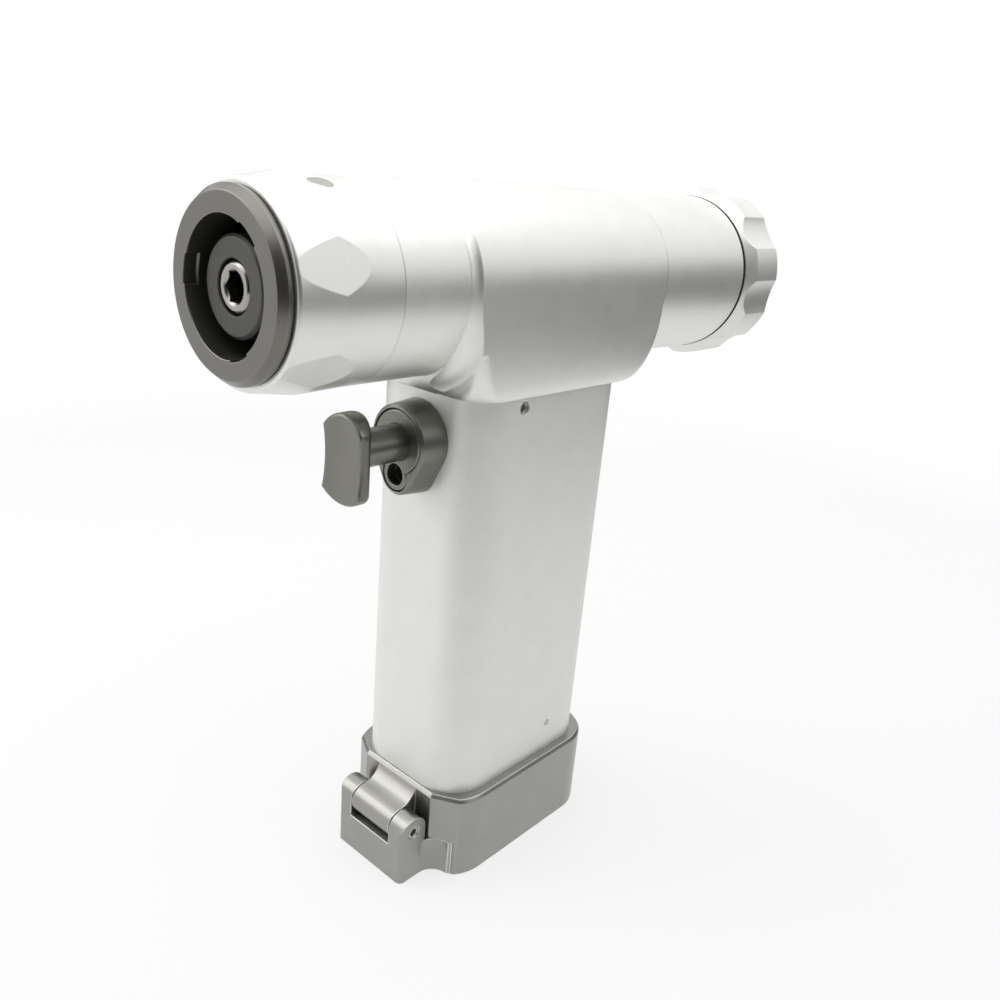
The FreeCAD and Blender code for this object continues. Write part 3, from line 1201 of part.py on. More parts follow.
def lid_ears():
    """Fillers between the block's sides and the wall, for the scoops to hollow."""
    half = HINGE_HALF_WIDTH
    ears = []
    for side in (1, -1):
        x0, x1 = sorted((side * (half - 1), side * (half + SCOOP_RADIUS)))
        ears.append(box(x0, x1, -LID_WALL_REAR - SCOOP_WALL - SCOOP_RADIUS, -LID_WALL_REAR, 0, LID_WALL_HEIGHT))
    return ears


def lid_scoops():
    """Upright round scoops beside the block; each runs out into the cap's facet."""
    scoops = []
    for side in (1, -1):
        centre = vec(side * (HINGE_HALF_WIDTH + SCOOP_RADIUS), -LID_WALL_REAR - SCOOP_WALL - SCOOP_RADIUS, -1)
        scoops.append(rod(centre, vec(0, 0, 1), LID_WALL_HEIGHT + 2, SCOOP_RADIUS))
    return Part.makeCompound(scoops)


def tongue_y():
    return GRIP_HALF_DEPTH + CAP_WALL - CATCH_BODY + CATCH_BAR + TONGUE_GAP


def lid_tongue():
    """Upright tongue that stands in the catch button's window."""
    half = TONGUE_HALF_WIDTH
    return box(-half, half, tongue_y(), tongue_y() + TONGUE_THICK, LID_PLATE - 1, CATCH_WINDOW_TOP - APART)


def battery_lid():
    body = lid_front().fuse(lid_plate()).fuse(lid_tongue())
    return body.cut(hinge_rod(HINGE_PIN_RADIUS + RUN, 2 * HINGE_HALF_WIDTH)).removeSplitter()


def hinge_pin():
    """Pin pressed in the lug, with a screw socket in its end."""
    half = HINGE_HALF_WIDTH - SEAT
    socket = rod(vec(half - HINGE_SOCKET_DEPTH, HINGE_Y, HINGE_HEIGHT), vec(1, 0, 0),
                 2 * HINGE_SOCKET_DEPTH, HINGE_PIN_SOCKET)
    return hinge_rod(HINGE_PIN_RADIUS, half).cut(socket)


def lid_seal():
    """Flat seal round the battery's way in."""
    z1 = LID_PLATE + LID_SEAL_THICK
    front = -BATTERY_FRONT - CAP_SLEEVE_GAP - LID_SEAL_WIDTH
    rear = BATTERY_REAR + CAP_SLEEVE_GAP + LID_SEAL_WIDTH
    half = BATTERY_HALF_WIDTH + CAP_SLEEVE_GAP
    outer = slab(half + LID_SEAL_WIDTH, front, rear, LID_SEAL_CORNER, LID_PLATE, z1)
    hole = slab(half, front + LID_SEAL_WIDTH, rear - LID_SEAL_WIDTH, LID_SEAL_CORNER - LID_SEAL_WIDTH,
                LID_PLATE - 1, z1 + 1)
    return outer.cut(hole)


def lid_pad():
    """Cushion on the lid that keeps the battery from rattling."""
    gap = 3 * CAP_SLEEVE_GAP + 2
    return battery_slab(gap, LID_PLATE, BATTERY_FOOT - APART)


def catch_button():
    """Press button with a window for the lid's tongue and a blind bore for its spring."""
    rear = GRIP_HALF_DEPTH + CAP_WALL
    body = catch_blank(0, rear - CATCH_BODY, rear + CATCH_PROUD)
    half = CATCH_WINDOW_HALF
    window = box(-half, half, rear - CATCH_BODY + CATCH_BAR, rear + CATCH_PROUD - CATCH_SKIN,
                 CATCH_Z - CATCH_HEIGHT, CATCH_WINDOW_TOP)
    bore = rod(vec(0, rear - CATCH_BODY, CATCH_SPRING_HEIGHT), ALONG, CATCH_SPRING_BORE,
               CATCH_SPRING_RADIUS + SEAT)
    return body.cut(window).cut(bore)


def catch_spring():
    start = GRIP_HALF_DEPTH + CAP_WALL - CATCH_BODY - CATCH_TRAVEL
    length = CATCH_TRAVEL + CATCH_SPRING_BORE
    return coil(vec(0, start, CATCH_SPRING_HEIGHT), ALONG, CATCH_SPRING_RADIUS - CATCH_SPRING_WIRE,
                CATCH_SPRING_WIRE, length, CATCH_SPRING_TURNS)


PARTS = {
    "nose_housing": nose_housing,
    "head_housing": head_housing,
    "collar_ring": collar_ring,
    "collar_retainer": collar_retainer,
    "collar_spring": collar_spring,
    "guide_sleeve": guide_sleeve,
    "coupling_hub": coupling_hub,
    "hub_flange": hub_flange,
    "alignment_key": alignment_key,
    "index_pin": index_pin,
    "drive_spindle": drive_spindle,
    "shaft_seal": shaft_seal,
    "front_bearing": lambda: bearing(FRONT_BEARING_Y, FRONT_BEARING_RADIUS, SPINDLE_RADIUS),
    "rear_bearing": lambda: bearing(REAR_BEARING_Y, REAR_BEARING_RADIUS, SPINDLE_RADIUS),
    "planet_carrier": planet_carrier,
    "carrier_plate": carrier_plate,
    "planet_pins": planet_pins,
    "sun_gear": sun_gear,
    "planet_gear_a": lambda: planet_gear(0),
    "planet_gear_b": lambda: planet_gear(1),
    "planet_gear_c": lambda: planet_gear(2),
    "ring_gear": ring_gear,
    "motor_shaft": motor_shaft,
    "motor_rotor": motor_rotor,
    "motor_stator": motor_stator,
    "motor_can": motor_can,
    "motor_front_plate": motor_front_plate,
    "motor_rear_plate": motor_rear_plate,
    "motor_front_bearing": lambda: motor_bearing(MOTOR_Y + MOTOR_FRONT_PLATE - MOTOR_BEARING_WIDTH),
    "motor_rear_bearing": lambda: motor_bearing(MOTOR_BACK_Y - MOTOR_REAR_PLATE),
    "motor_board": motor_board,
    "clamp_sleeve": clamp_sleeve,
    "end_knob": end_knob,
    "knob_seal": knob_seal,
    "grip_tube": grip_tube,
    "grip_screws": grip_screws,
    "cap_pins": cap_pins,
    "trigger": trigger,
    "trigger_clip": trigger_clip,
    "trigger_spring": trigger_spring,
    "trigger_magnet": trigger_magnet,
    "trigger_boss": trigger_boss,
    "trigger_insert": trigger_insert,
    "boss_nut": boss_nut,
    "trigger_bracket": trigger_bracket,
    "control_board": control_board,
    "contact_block": contact_block,
    "contact_pins": contact_pins,
    "battery_case": battery_case,
    "battery_cells": battery_cells,
    "cap_frame": cap_frame,
    "battery_lid": battery_lid,
    "hinge_pin": hinge_pin,
    "lid_seal": lid_seal,
    "lid_pad": lid_pad,
    "catch_button": catch_button,
    "catch_spring": catch_spring,
}


os.makedirs("parts", exist_ok=True)
for name, make in PARTS.items():
    shape = make()
    shape.exportStep("parts/" + name + ".step")
    print("%-22s solids %d valid %s volume %.1f" % (name, len(shape.Solids), shape.isValid(), shape.Volume))
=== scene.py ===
import math
import bmesh
import bpy
from mathutils import Matrix, Vector


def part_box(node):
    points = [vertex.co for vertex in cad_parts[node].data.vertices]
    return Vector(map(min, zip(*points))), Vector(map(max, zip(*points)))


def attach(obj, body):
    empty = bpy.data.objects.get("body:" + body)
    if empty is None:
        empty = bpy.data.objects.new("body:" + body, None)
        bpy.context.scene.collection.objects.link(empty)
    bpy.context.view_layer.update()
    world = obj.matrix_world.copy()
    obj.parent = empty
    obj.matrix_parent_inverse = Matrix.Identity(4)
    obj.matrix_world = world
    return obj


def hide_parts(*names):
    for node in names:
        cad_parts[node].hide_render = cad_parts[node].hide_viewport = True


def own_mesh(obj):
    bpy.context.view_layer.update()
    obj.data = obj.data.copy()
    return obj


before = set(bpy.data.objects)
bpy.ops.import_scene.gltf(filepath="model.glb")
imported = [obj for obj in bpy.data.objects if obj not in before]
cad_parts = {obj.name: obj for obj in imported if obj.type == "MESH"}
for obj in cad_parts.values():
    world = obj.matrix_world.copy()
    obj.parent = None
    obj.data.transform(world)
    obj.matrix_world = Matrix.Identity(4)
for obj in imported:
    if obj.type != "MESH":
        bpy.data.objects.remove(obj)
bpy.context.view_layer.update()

MM = 0.001
AXIS_HEIGHT = 137.5 * MM
EDGE_BREAK = 0.4 * MM
CLOUD_WIDTH = 30            # of the slow change of tone, in grains
HIGHLIGHT_REACH = 0.4             # how far in mm from an edge the painted edge highlight reaches
GRAIN_SPAN = (0.35, 0.65)   # the part of the noise that the colours and gloss use
GRAIN_STRENGTH = 0.5
LINE_SPAN = (0.3, 0.7)
LINE_STRENGTH = 0.3


# Colour and node helpers

def linear(code):
    """sRGB hex to the linear colour the shaders work in."""
    values = [int(code[i:i + 2], 16) / 255 for i in (1, 3, 5)]
    return tuple(v / 12.92 if v <= 0.04045 else ((v + 0.055) / 1.055) ** 2.4 for v in values) + (1.0,)


def add(tree, kind, settings=None, values=None, links=None):
    """Adds a node with its settings, socket values and incoming links."""
    node = tree.nodes.new(kind)
    for name, value in (settings or {}).items():
        setattr(node, name, value)
    for socket, value in (values or {}).items():
        node.inputs[socket].default_value = value
    for socket, source in (links or {}).items():
        tree.links.new(source, node.inputs[socket])
    return node


def start(name, code, metallic, roughness):
    """A material with its shader's plain values set."""
    made = bpy.data.materials.new(name)
    made.use_nodes = True
    shader = made.node_tree.nodes["Principled BSDF"]
    shader.inputs["Base Color"].default_value = linear(code)
    shader.inputs["Metallic"].default_value = metallic
    shader.inputs["Roughness"].default_value = roughness
    made.diffuse_color = linear(code)
    return made, made.node_tree, shader


def painted_edge_highlight(tree, tone, highlight_code, reach):
    """Painted edge highlight: edges painted brighter, in that colour where the surface turns within that reach
    in mm.
    """
    soft = add(tree, "ShaderNodeBevel", {"samples": 8}, {"Radius": reach * MM})
    place = add(tree, "ShaderNodeNewGeometry")
    turned = add(tree, "ShaderNodeVectorMath", {"operation": "DOT_PRODUCT"},
                 links={0: soft.outputs["Normal"], 1: place.outputs["Normal"]})
    share = add(tree, "ShaderNodeMapRange", values={"From Min": 0.99, "From Max": 0.9},
                links={"Value": turned.outputs["Value"]})
    mixed = add(tree, "ShaderNodeMix", {"data_type": "RGBA"}, {7: linear(highlight_code)},
                {0: share.outputs["Result"], 6: tone})
    return mixed.outputs[2]


def tint(tree, shader, pattern, span, light, dark, highlight_code, reach):
    """Colour that follows the pattern, from dark at the span's low value to light at its high one."""
    ramp = add(tree, "ShaderNodeValToRGB", links={"Fac": pattern})
    for element, position, code in zip(ramp.color_ramp.elements, span, (dark, light)):
        element.position = position
        element.color = linear(code)
    tone = ramp.outputs["Color"]
    # where a highlight colour is given, the edges get a painted highlight over the tone
    if highlight_code:
        tone = painted_edge_highlight(tree, tone, highlight_code, reach)
    tree.links.new(tone, shader.inputs["Base Color"])


def sheen_and_relief(tree, shader, pattern, span, smooth, rough, height, strength, depth):
    """Roughness that follows the pattern, and relief of that depth in mm over slightly broken edges."""
    gloss = add(tree, "ShaderNodeMapRange",
                values={"From Min": span[0], "From Max": span[1], "To Min": smooth, "To Max": rough},
                links={"Value": pattern})
    tree.links.new(gloss.outputs["Result"], shader.inputs["Roughness"])
    edges = add(tree, "ShaderNodeBevel", {"samples": 6}, {"Radius": EDGE_BREAK})
    relief = add(tree, "ShaderNodeBump", values={"Strength": strength, "Distance": depth * MM},
                 links={"Height": height, "Normal": edges.outputs["Normal"]})
    tree.links.new(relief.outputs["Normal"], shader.inputs["Normal"])


def grain(tree, shader, light, dark, size, depth, smooth, rough, cloud=0.25, highlight_code=None, reach=HIGHLIGHT_REACH):
    """A fine even grain of that size in mm, with a much wider and weaker change of tone, in colour,
    roughness and relief."""
    place = add(tree, "ShaderNodeTexCoord")
    speck = add(tree, "ShaderNodeTexNoise", values={"Scale": 1 / (size * MM), "Detail": 2.0},
                links={"Vector": place.outputs["Object"]})
    drift = add(tree, "ShaderNodeTexNoise", values={"Scale": 1 / (CLOUD_WIDTH * size * MM), "Detail": 1.0},
                links={"Vector": place.outputs["Object"]})
    mixed = add(tree, "ShaderNodeMix", {"data_type": "FLOAT"}, {0: cloud},
                {2: speck.outputs["Fac"], 3: drift.outputs["Fac"]})
    both = mixed.outputs[0]
    tint(tree, shader, both, GRAIN_SPAN, light, dark, highlight_code, reach)
    sheen_and_relief(tree, shader, both, GRAIN_SPAN, smooth, rough, speck.outputs["Fac"], GRAIN_STRENGTH, depth)


def tool_lines(tree, shader, light, dark, stretch, size, depth, smooth, rough, highlight_code=None):
    """Fine lines left by a cutting tool or a belt: noise that is drawn out where stretch is small."""
    place = add(tree, "ShaderNodeTexCoord")
    drawn = add(tree, "ShaderNodeMapping", values={"Scale": stretch},
                links={"Vector": place.outputs["Object"]})
    noise = add(tree, "ShaderNodeTexNoise", values={"Scale": 1 / (size * MM), "Detail": 2.0},
                links={"Vector": drawn.outputs["Vector"]})
    lines = noise.outputs["Fac"]
    tint(tree, shader, lines, LINE_SPAN, light, dark, highlight_code, HIGHLIGHT_REACH)
    sheen_and_relief(tree, shader, lines, LINE_SPAN, smooth, rough, lines, LINE_STRENGTH, depth)


# Materials

BLOCK_END = (32.65 * MM, 33.0 * MM)     # where the saddle block ends, along the barrel
STEP_RELIEF = 0.25 * MM


def blasted_aluminium():
    """Clear anodised aluminium, bead blasted: a soft silver white with a fine sandy grain and no clear
    reflection. The real dimples of about 0.08 mm are drawn at 0.22 mm so that they show."""
    made, tree, shader = start("blasted_aluminium", "#E9E9E6", 0.9, 0.42)
    grain(tree, shader, "#EDEDEA", "#E3E3DF", 0.22, 0.035, 0.39, 0.46)
    return made


def blasted_grip():
    """The grip's drawn tube, blasted with coarser grit than the head: duller and lighter, so that its
    sides hardly darken. Its dimples of about 0.1 mm are drawn at 0.25 mm."""
    made, tree, shader = start("blasted_grip", "#EEEEEB", 0.6, 0.46)
    grain(tree, shader, "#F1F1EE", "#E8E8E4", 0.25, 0.035, 0.43, 0.5)
    return made


def blasted_head():
    """The same blasted alloy on the head. Where the saddle block ends on the barrel, its milling leaves
    a step of about 0.1 mm right round, drawn 0.35 mm wide and 0.25 mm deep so that its line shows."""
    made, tree, shader = start("blasted_head", "#E9E9E6", 0.9, 0.42)
    grain(tree, shader, "#EDEDEA", "#E3E3DF", 0.22, 0.035, 0.39, 0.46)
    place = add(tree, "ShaderNodeTexCoord")
    along = add(tree, "ShaderNodeSeparateXYZ", links={"Vector": place.outputs["Object"]})
    step = add(tree, "ShaderNodeMapRange",
               values={"From Min": BLOCK_END[0], "From Max": BLOCK_END[1], "To Min": 1.0, "To Max": 0.0},
               links={"Value": along.outputs["Y"]})
    sanded = shader.inputs["Normal"].links[0].from_socket
    relief = add(tree, "ShaderNodeBump", values={"Strength": 1.0, "Distance": STEP_RELIEF},
                 links={"Height": step.outputs["Result"], "Normal": sanded})
    tree.links.new(relief.outputs["Normal"], shader.inputs["Normal"])
    return made


def turned_aluminium():
    """The same alloy turned on a lathe before blasting: slightly smoother, with faint rings round it."""
    made, tree, shader = start("turned_aluminium", "#E7E7E4", 0.9, 0.38)
    tool_lines(tree, shader, "#E8E8E5", "#E5E5E2", (0.03, 1.0, 0.03), 0.4, 0.0015, 0.37, 0.4)
    return made


def blasted_steel():
    """Stainless steel, fine blasted: satin middle grey with a very fine grain, drawn at 0.2 mm."""
    made, tree, shader = start("blasted_steel", "#9D9C98", 0.9, 0.3)
    # DAD9D4 is a painted edge highlight, reaching 0.5 mm from the edges
    grain(tree, shader, "#A09F9B", "#9A9995", 0.2, 0.003, 0.28, 0.32, 0.5, "#DAD9D4", 0.5)
    return made


def coated_titanium():
    """Titanium with a hard grey coating: dark middle grey, satin, with a hardly visible grain."""
    made, tree, shader = start("coated_titanium", "#7E7D77", 0.85, 0.34)
    # 9C9B95 is a painted edge highlight
    grain(tree, shader, "#81807A", "#7B7A74", 0.2, 0.003, 0.32, 0.37, 0.5, "#9C9B95")
    return made


def collar_titanium():
    """The coated titanium of the collar, turned: its face shows rings too fine to tell apart, drawn
    at 0.3 mm."""
    made, tree, shader = start("collar_titanium", "#777570", 0.85, 0.32)
    # 8F8D88 is a painted edge highlight
    tool_lines(tree, shader, "#797772", "#74726D", (0.03, 1.0, 0.03), 0.3, 0.003, 0.3, 0.35, "#8F8D88")
    return made


def pin_titanium():
    """Bare turned titanium of the index pin's end: lighter than the coated pieces; its fine rings are drawn as
    a fine grain.
    """
    made, tree, shader = start("pin_titanium", "#A9A8A3", 0.9, 0.36)
    grain(tree, shader, "#ADACA7", "#A4A39E", 0.2, 0.006, 0.33, 0.39)
    return made


def dark_coating():
    """Steel with a matt dark grey coating, as on the hub: even, with a faint grain."""
    made, tree, shader = start("dark_coating", "#53524F", 0.6, 0.42)
    grain(tree, shader, "#565552", "#4F4E4B", 0.2, 0.006, 0.39, 0.46)
    return made


def recess_painted_black():
    """Steel inside the recess painted nearly black, with a dull sheen: painted shade of the recess."""
    # nearly black colours: painted shade of the recess
    made, tree, shader = start("recess_painted_black", "#17181B", 0.4, 0.4)
    grain(tree, shader, "#1B1C20", "#131417", 0.3, 0.008, 0.36, 0.46)
    return made


def polished_steel():
    """Turned and polished steel of the spindle: grey, with a soft bright edge and faint rings."""
    made, tree, shader = start("polished_steel", "#A8A5A0", 1.0, 0.22)
    tool_lines(tree, shader, "#ADAAA5", "#A09D98", (0.05, 1.0, 0.05), 0.3, 0.002, 0.18, 0.27)
    return made


def ground_steel():
    """Ground bearing steel: bright, with even fine grinding lines."""
    made, tree, shader = start("ground_steel", "#B4B4B4", 1.0, 0.25)
    tool_lines(tree, shader, "#B9B9B9", "#ABABAB", (0.1, 1.0, 0.1), 0.3, 0.003, 0.21, 0.29)
    return made


def gear_steel():
    """Hardened and oiled gear steel: darker grey with a slight mottle from the heat."""
    made, tree, shader = start("gear_steel", "#858586", 1.0, 0.32)
    grain(tree, shader, "#8E8E8F", "#767678", 0.4, 0.008, 0.27, 0.38, 0.6)
    return made


def motor_steel():
    """Drawn steel tube of the motor: plain grey with lines along its length."""
    made, tree, shader = start("motor_steel", "#9A9A9A", 1.0, 0.35)
    tool_lines(tree, shader, "#A1A1A1", "#909090", (1.0, 0.05, 1.0), 0.5, 0.006, 0.3, 0.4)
    return made


def laminations():
    """Stacked varnished sheets, 0.35 mm thick: dark grey with a fine line at each sheet."""
    made, tree, shader = start("laminations", "#54504F", 0.6, 0.45)
    place = add(tree, "ShaderNodeTexCoord")
    sheets = add(tree, "ShaderNodeTexWave", {"wave_type": "BANDS", "bands_direction": "Y"},
                 {"Scale": 1 / (0.35 * MM) / 20, "Distortion": 0.0}, {"Vector": place.outputs["Object"]})
    tone = add(tree, "ShaderNodeValToRGB", links={"Fac": sheets.outputs["Fac"]})
    tone.color_ramp.elements[0].color = linear("#3E3B3A")
    tone.color_ramp.elements[1].color = linear("#625E5C")
    tree.links.new(tone.outputs["Color"], shader.inputs["Base Color"])
    return made


def sintered_magnet():
    """Nickel plated magnet: smooth silver grey, a little yellow."""
    made, tree, shader = start("sintered_magnet", "#8F8C86", 1.0, 0.28)
    grain(tree, shader, "#96938D", "#86837D", 0.4, 0.005, 0.23, 0.33)
    return made


def black_rubber():
    """Moulded rubber: near black and dull."""
    made, tree, shader = start("black_rubber", "#1D1D1E", 0.0, 0.7)
    grain(tree, shader, "#212122", "#19191A", 0.3, 0.015, 0.64, 0.76)
    return made


def circuit_board():
    """Glass fibre board with green solder mask: satin green with a faint weave of 0.6 mm."""
    made, tree, shader = start("circuit_board", "#1F5A3C", 0.0, 0.35)
    grain(tree, shader, "#24663F", "#1A4D33", 0.6, 0.01, 0.3, 0.42)
    return made


def moulded_plastic():
    """Black glass filled nylon: matt, with a fine moulded texture."""
    made, tree, shader = start("moulded_plastic", "#2A2A2C", 0.0, 0.5)
    grain(tree, shader, "#2F2F31", "#252527", 0.35, 0.02, 0.45, 0.58)
    return made


def cell_film():
    """Shrunk film round the cells: smooth blue plastic with slight ripples."""
    made, tree, shader = start("cell_film", "#2C4F86", 0.0, 0.25)
    grain(tree, shader, "#31588F", "#26467A", 3.0, 0.05, 0.2, 0.32)
    return made


def contact_brass():
    """Plated brass contacts: bright warm yellow."""
    made, tree, shader = start("contact_brass", "#C8A55C", 1.0, 0.22)
    tool_lines(tree, shader, "#CDAA62", "#BF9C53", (1.0, 1.0, 0.1), 0.3, 0.003, 0.18, 0.28)
    return made


finishes = {
    blasted_aluminium(): ["end_knob"],
    blasted_grip(): ["grip_tube"],
    blasted_head(): ["head_housing"],
    turned_aluminium(): ["nose_housing"],
    blasted_steel(): ["cap_frame", "battery_lid", "catch_button"],
    coated_titanium(): ["trigger", "trigger_boss", "trigger_insert"],
    pin_titanium(): ["index_pin"],
    collar_titanium(): ["collar_ring"],
    dark_coating(): ["coupling_hub"],
    # the parts inside the recess get painted shade: nearly black
    recess_painted_black(): ["guide_sleeve", "hub_flange", "collar_spring", "collar_retainer"],
    polished_steel(): ["drive_spindle"],
    ground_steel(): ["front_bearing", "rear_bearing", "motor_front_bearing", "motor_rear_bearing",
                     "alignment_key", "grip_screws", "cap_pins", "hinge_pin", "trigger_clip",
                     "trigger_spring", "catch_spring", "planet_pins", "motor_shaft", "boss_nut"],
    gear_steel(): ["sun_gear", "planet_gear_a", "planet_gear_b", "planet_gear_c", "ring_gear",
                   "planet_carrier", "carrier_plate"],
    motor_steel(): ["motor_can", "motor_front_plate", "motor_rear_plate", "clamp_sleeve"],
    laminations(): ["motor_stator"],
    sintered_magnet(): ["motor_rotor", "trigger_magnet"],
    black_rubber(): ["knob_seal", "shaft_seal", "lid_seal", "lid_pad"],
    circuit_board(): ["motor_board", "control_board"],
    moulded_plastic(): ["trigger_bracket", "contact_block", "battery_case"],
    cell_film(): ["battery_cells"],
    contact_brass(): ["contact_pins"],
}
for finish, names in finishes.items():
    for name in names:
        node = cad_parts[name]
        node.data.materials.clear()
        node.data.materials.append(finish)


# Helpers for the pieces that replace nodes

def turn_points(steps):
    """Cosine and sine of each step of a full turn."""
    angles = [2 * math.pi * step / steps for step in range(steps)]
    return [(math.cos(angle), math.sin(angle)) for angle in angles]


def skin(shape, rings, closed=False):
    """Faces between neighbouring rings. The last ring joins the first, or both ends get a face."""
    after_rings = rings[1:] + rings[:1] if closed else rings[1:]
    for near, far in zip(rings, after_rings):
        for step in range(len(near)):
            after = (step + 1) % len(near)
            shape.faces.new((near[step], near[after], far[after], far[step]))
    if not closed:
        shape.faces.new(rings[0])
        shape.faces.new(rings[-1][::-1])


def fit_piece(shape, name, crease, finish, body, node):
    """Makes the shape a smooth piece that rides on the body in the node's place. Edges sharper than the
    crease's degrees stay sharp."""
    bmesh.ops.recalc_face_normals(shape, faces=shape.faces)
    mesh = bpy.data.meshes.new(name)
    shape.to_mesh(mesh)
    shape.free()
    mesh.shade_smooth()
    mesh.set_sharp_from_angle(angle=math.radians(crease))
    mesh.materials.append(bpy.data.materials[finish])
    piece = bpy.data.objects.new(name, mesh)
    bpy.context.scene.collection.objects.link(piece)
    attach(piece, body)
    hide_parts(node)
    return piece


# Trigger

PAD_MIDDLE = 103.6 * MM
PAD_HALF_WIDTH = 5.9 * MM
PAD_HALF_HEIGHT = 9.4 * MM
PAD_TOP_RADIUS = 7.0 * MM
PAD_LOW_RADIUS = 8.2 * MM
PAD_FRONT = -44.9 * MM
PAD_DISH_ALONG = 1.25 * MM
PAD_DISH_ACROSS = 1.05 * MM
PAD_BACK = -41.3 * MM
PAD_BACK_RADIUS = 9.2 * MM
PAD_RIM = 1.1 * MM
ROD_HEIGHT = 105.1 * MM
ROD_RADIUS = 3.9 * MM
ROD_GROOVE = 0.5 * MM
ROD_EDGE = 0.3 * MM
ROD_IN_PAD = 2 * MM
PAD_SIDE_STEPS = 12
PAD_ARCH_STEPS = 20
PAD_FACE_RINGS = 14


def pad_outline(inset):
    """Points round the pad, seen from the front, drawn in from its edge by that much."""
    half = PAD_HALF_WIDTH - inset
    arches = []
    for arch in (PAD_TOP_RADIUS, PAD_LOW_RADIUS):
        radius = arch - inset
        reach = math.asin(half / radius)
        arches.append((radius, reach, PAD_HALF_HEIGHT - arch))
    points = []
    for side, here, before in ((1, arches[0], arches[1]), (-1, arches[1], arches[0])):
        radius, reach, centre = here
        rise = centre + radius * math.cos(reach)
        fall = before[2] + before[0] * math.cos(before[1])
        for step in range(PAD_SIDE_STEPS):
            points.append((side * half, side * ((rise + fall) * step / PAD_SIDE_STEPS - fall)))
        for step in range(PAD_ARCH_STEPS):
            angle = reach * (1 - 2 * step / PAD_ARCH_STEPS)
            points.append((side * radius * math.sin(angle), side * (centre + radius * math.cos(angle))))
    return points


def pad_front(x, z):
    """The finger's hollow, along the pad and across it."""
    along = PAD_DISH_ALONG * (z / PAD_HALF_HEIGHT) ** 2
    across = PAD_DISH_ACROSS * (x / PAD_HALF_WIDTH) ** 2
    return PAD_FRONT - along - across


def pad_back(x, z):
    """The crown that faces the grip."""
    return PAD_BACK - PAD_BACK_RADIUS + math.sqrt(PAD_BACK_RADIUS ** 2 - x ** 2)


def pad_mesh(shape):
    """Rings from the middle of the front, over both rounded rims, to the middle of the back."""
    def ring(surface, inset, share, drop):
        return [shape.verts.new((x * share, surface(x * share, z * share) + drop, PAD_MIDDLE + z * share))
                for x, z in pad_outline(inset)]

    shares = [step / PAD_FACE_RINGS for step in range(1, PAD_FACE_RINGS)]
    turns = [math.radians(15 * step) for step in range(7)]
    rim = [(PAD_RIM * (1 - math.sin(turn)), PAD_RIM * (1 - math.cos(turn))) for turn in turns]
    rings = [ring(pad_front, PAD_RIM, share, 0) for share in shares]
    rings += [ring(pad_front, inset, 1, drop) for inset, drop in rim]
    rings += [ring(pad_back, inset, 1, -drop) for inset, drop in reversed(rim)]
    rings += [ring(pad_back, PAD_RIM, share, 0) for share in reversed(shares)]
    skin(shape, rings)


def rod_mesh(shape, end, clip):
    """Round rod along Y from inside the pad to its end, with the clip's groove; both ends are closed."""
    neck = ROD_RADIUS - ROD_GROOVE
    profile = [(PAD_BACK - ROD_IN_PAD, ROD_RADIUS), (clip[0], ROD_RADIUS), (clip[0], neck), (clip[1], neck),
               (clip[1], ROD_RADIUS), (end - ROD_EDGE, ROD_RADIUS), (end, ROD_RADIUS - ROD_EDGE)]
    rings = [[shape.verts.new((radius * cos, y, ROD_HEIGHT + radius * sin)) for cos, sin in turn_points(64)]
             for y, radius in profile]
    skin(shape, rings)


def trigger_pad_and_rod():
    """Pad with softly rounded rims on its rod, in place of the plainer solid."""
    clip_low, clip_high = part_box("trigger_clip")
    rod_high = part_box("trigger")[1]
    shape = bmesh.new()
    pad_mesh(shape)
    rod_mesh(shape, rod_high[1], (clip_low[1], clip_high[1]))
    fit_piece(shape, "trigger_pad_and_rod", 35, "coated_titanium", "trigger_group", "trigger")


# Seal

SEAL_PROUD = 0.75 * MM      # of the solid ring
SEAL_DEPTH = 2.2 * MM
SEAL_CROWN = 0.35 * MM
SEAL_CLEAR = 0.02 * MM


def swollen_seal():
    """Rubber ring squeezed between barrel and knob: it fills their gap and swells just past the barrel."""
    low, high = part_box("knob_seal")
    front, rear = low[1], high[1] - SEAL_CLEAR
    crest = (high[0] - low[0]) / 2 + SEAL_PROUD
    root, shoulder = crest - SEAL_DEPTH, crest - SEAL_CROWN
    profile = [(front, root), (front, shoulder)]
    for angle in (20, 40, 65, 90, 115, 140, 160):
        turn = math.radians(angle)
        profile.append(((front + rear - (rear - front) * math.cos(turn)) / 2,
                        shoulder + SEAL_CROWN * math.sin(turn)))
    profile += [(rear, shoulder), (rear, root)]
    shape = bmesh.new()
    rings = [[shape.verts.new((radius * cos, y, AXIS_HEIGHT + radius * sin)) for cos, sin in turn_points(128)]
             for y, radius in profile]
    skin(shape, rings, closed=True)
    fit_piece(shape, "knob_seal_ring", 40, "black_rubber", "handpiece", "knob_seal")


# Springs drawn as coils

def pressed_spring(node, wire, turns):
    """Helix of round wire in the place of the stiff solid, as long as the solid."""
    low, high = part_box(node)
    middle = [(a + b) / 2 for a, b in zip(low, high)]
    radius = (high[0] - low[0]) / 2 - wire
    length = high[1] - low[1]
    steps = 24 * turns
    shape = bmesh.new()
    rings = []
    for step in range(steps + 1):
        angle = 2 * math.pi * turns * step / steps
        y = low[1] + wire + (length - 2 * wire) * step / steps
        rings.append([shape.verts.new((middle[0] + (radius + wire * cos) * math.cos(angle), y + wire * sin,
                                       middle[2] + (radius + wire * cos) * math.sin(angle)))
                      for cos, sin in turn_points(10)])
    skin(shape, rings)
    piece = fit_piece(shape, node + "_coil", 50, "ground_steel", "handpiece", node)
    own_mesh(piece)


trigger_pad_and_rod()
swollen_seal()
pressed_spring("trigger_spring", 0.45 * MM, 5)
pressed_spring("catch_spring", 0.2 * MM, 4)


# Stage

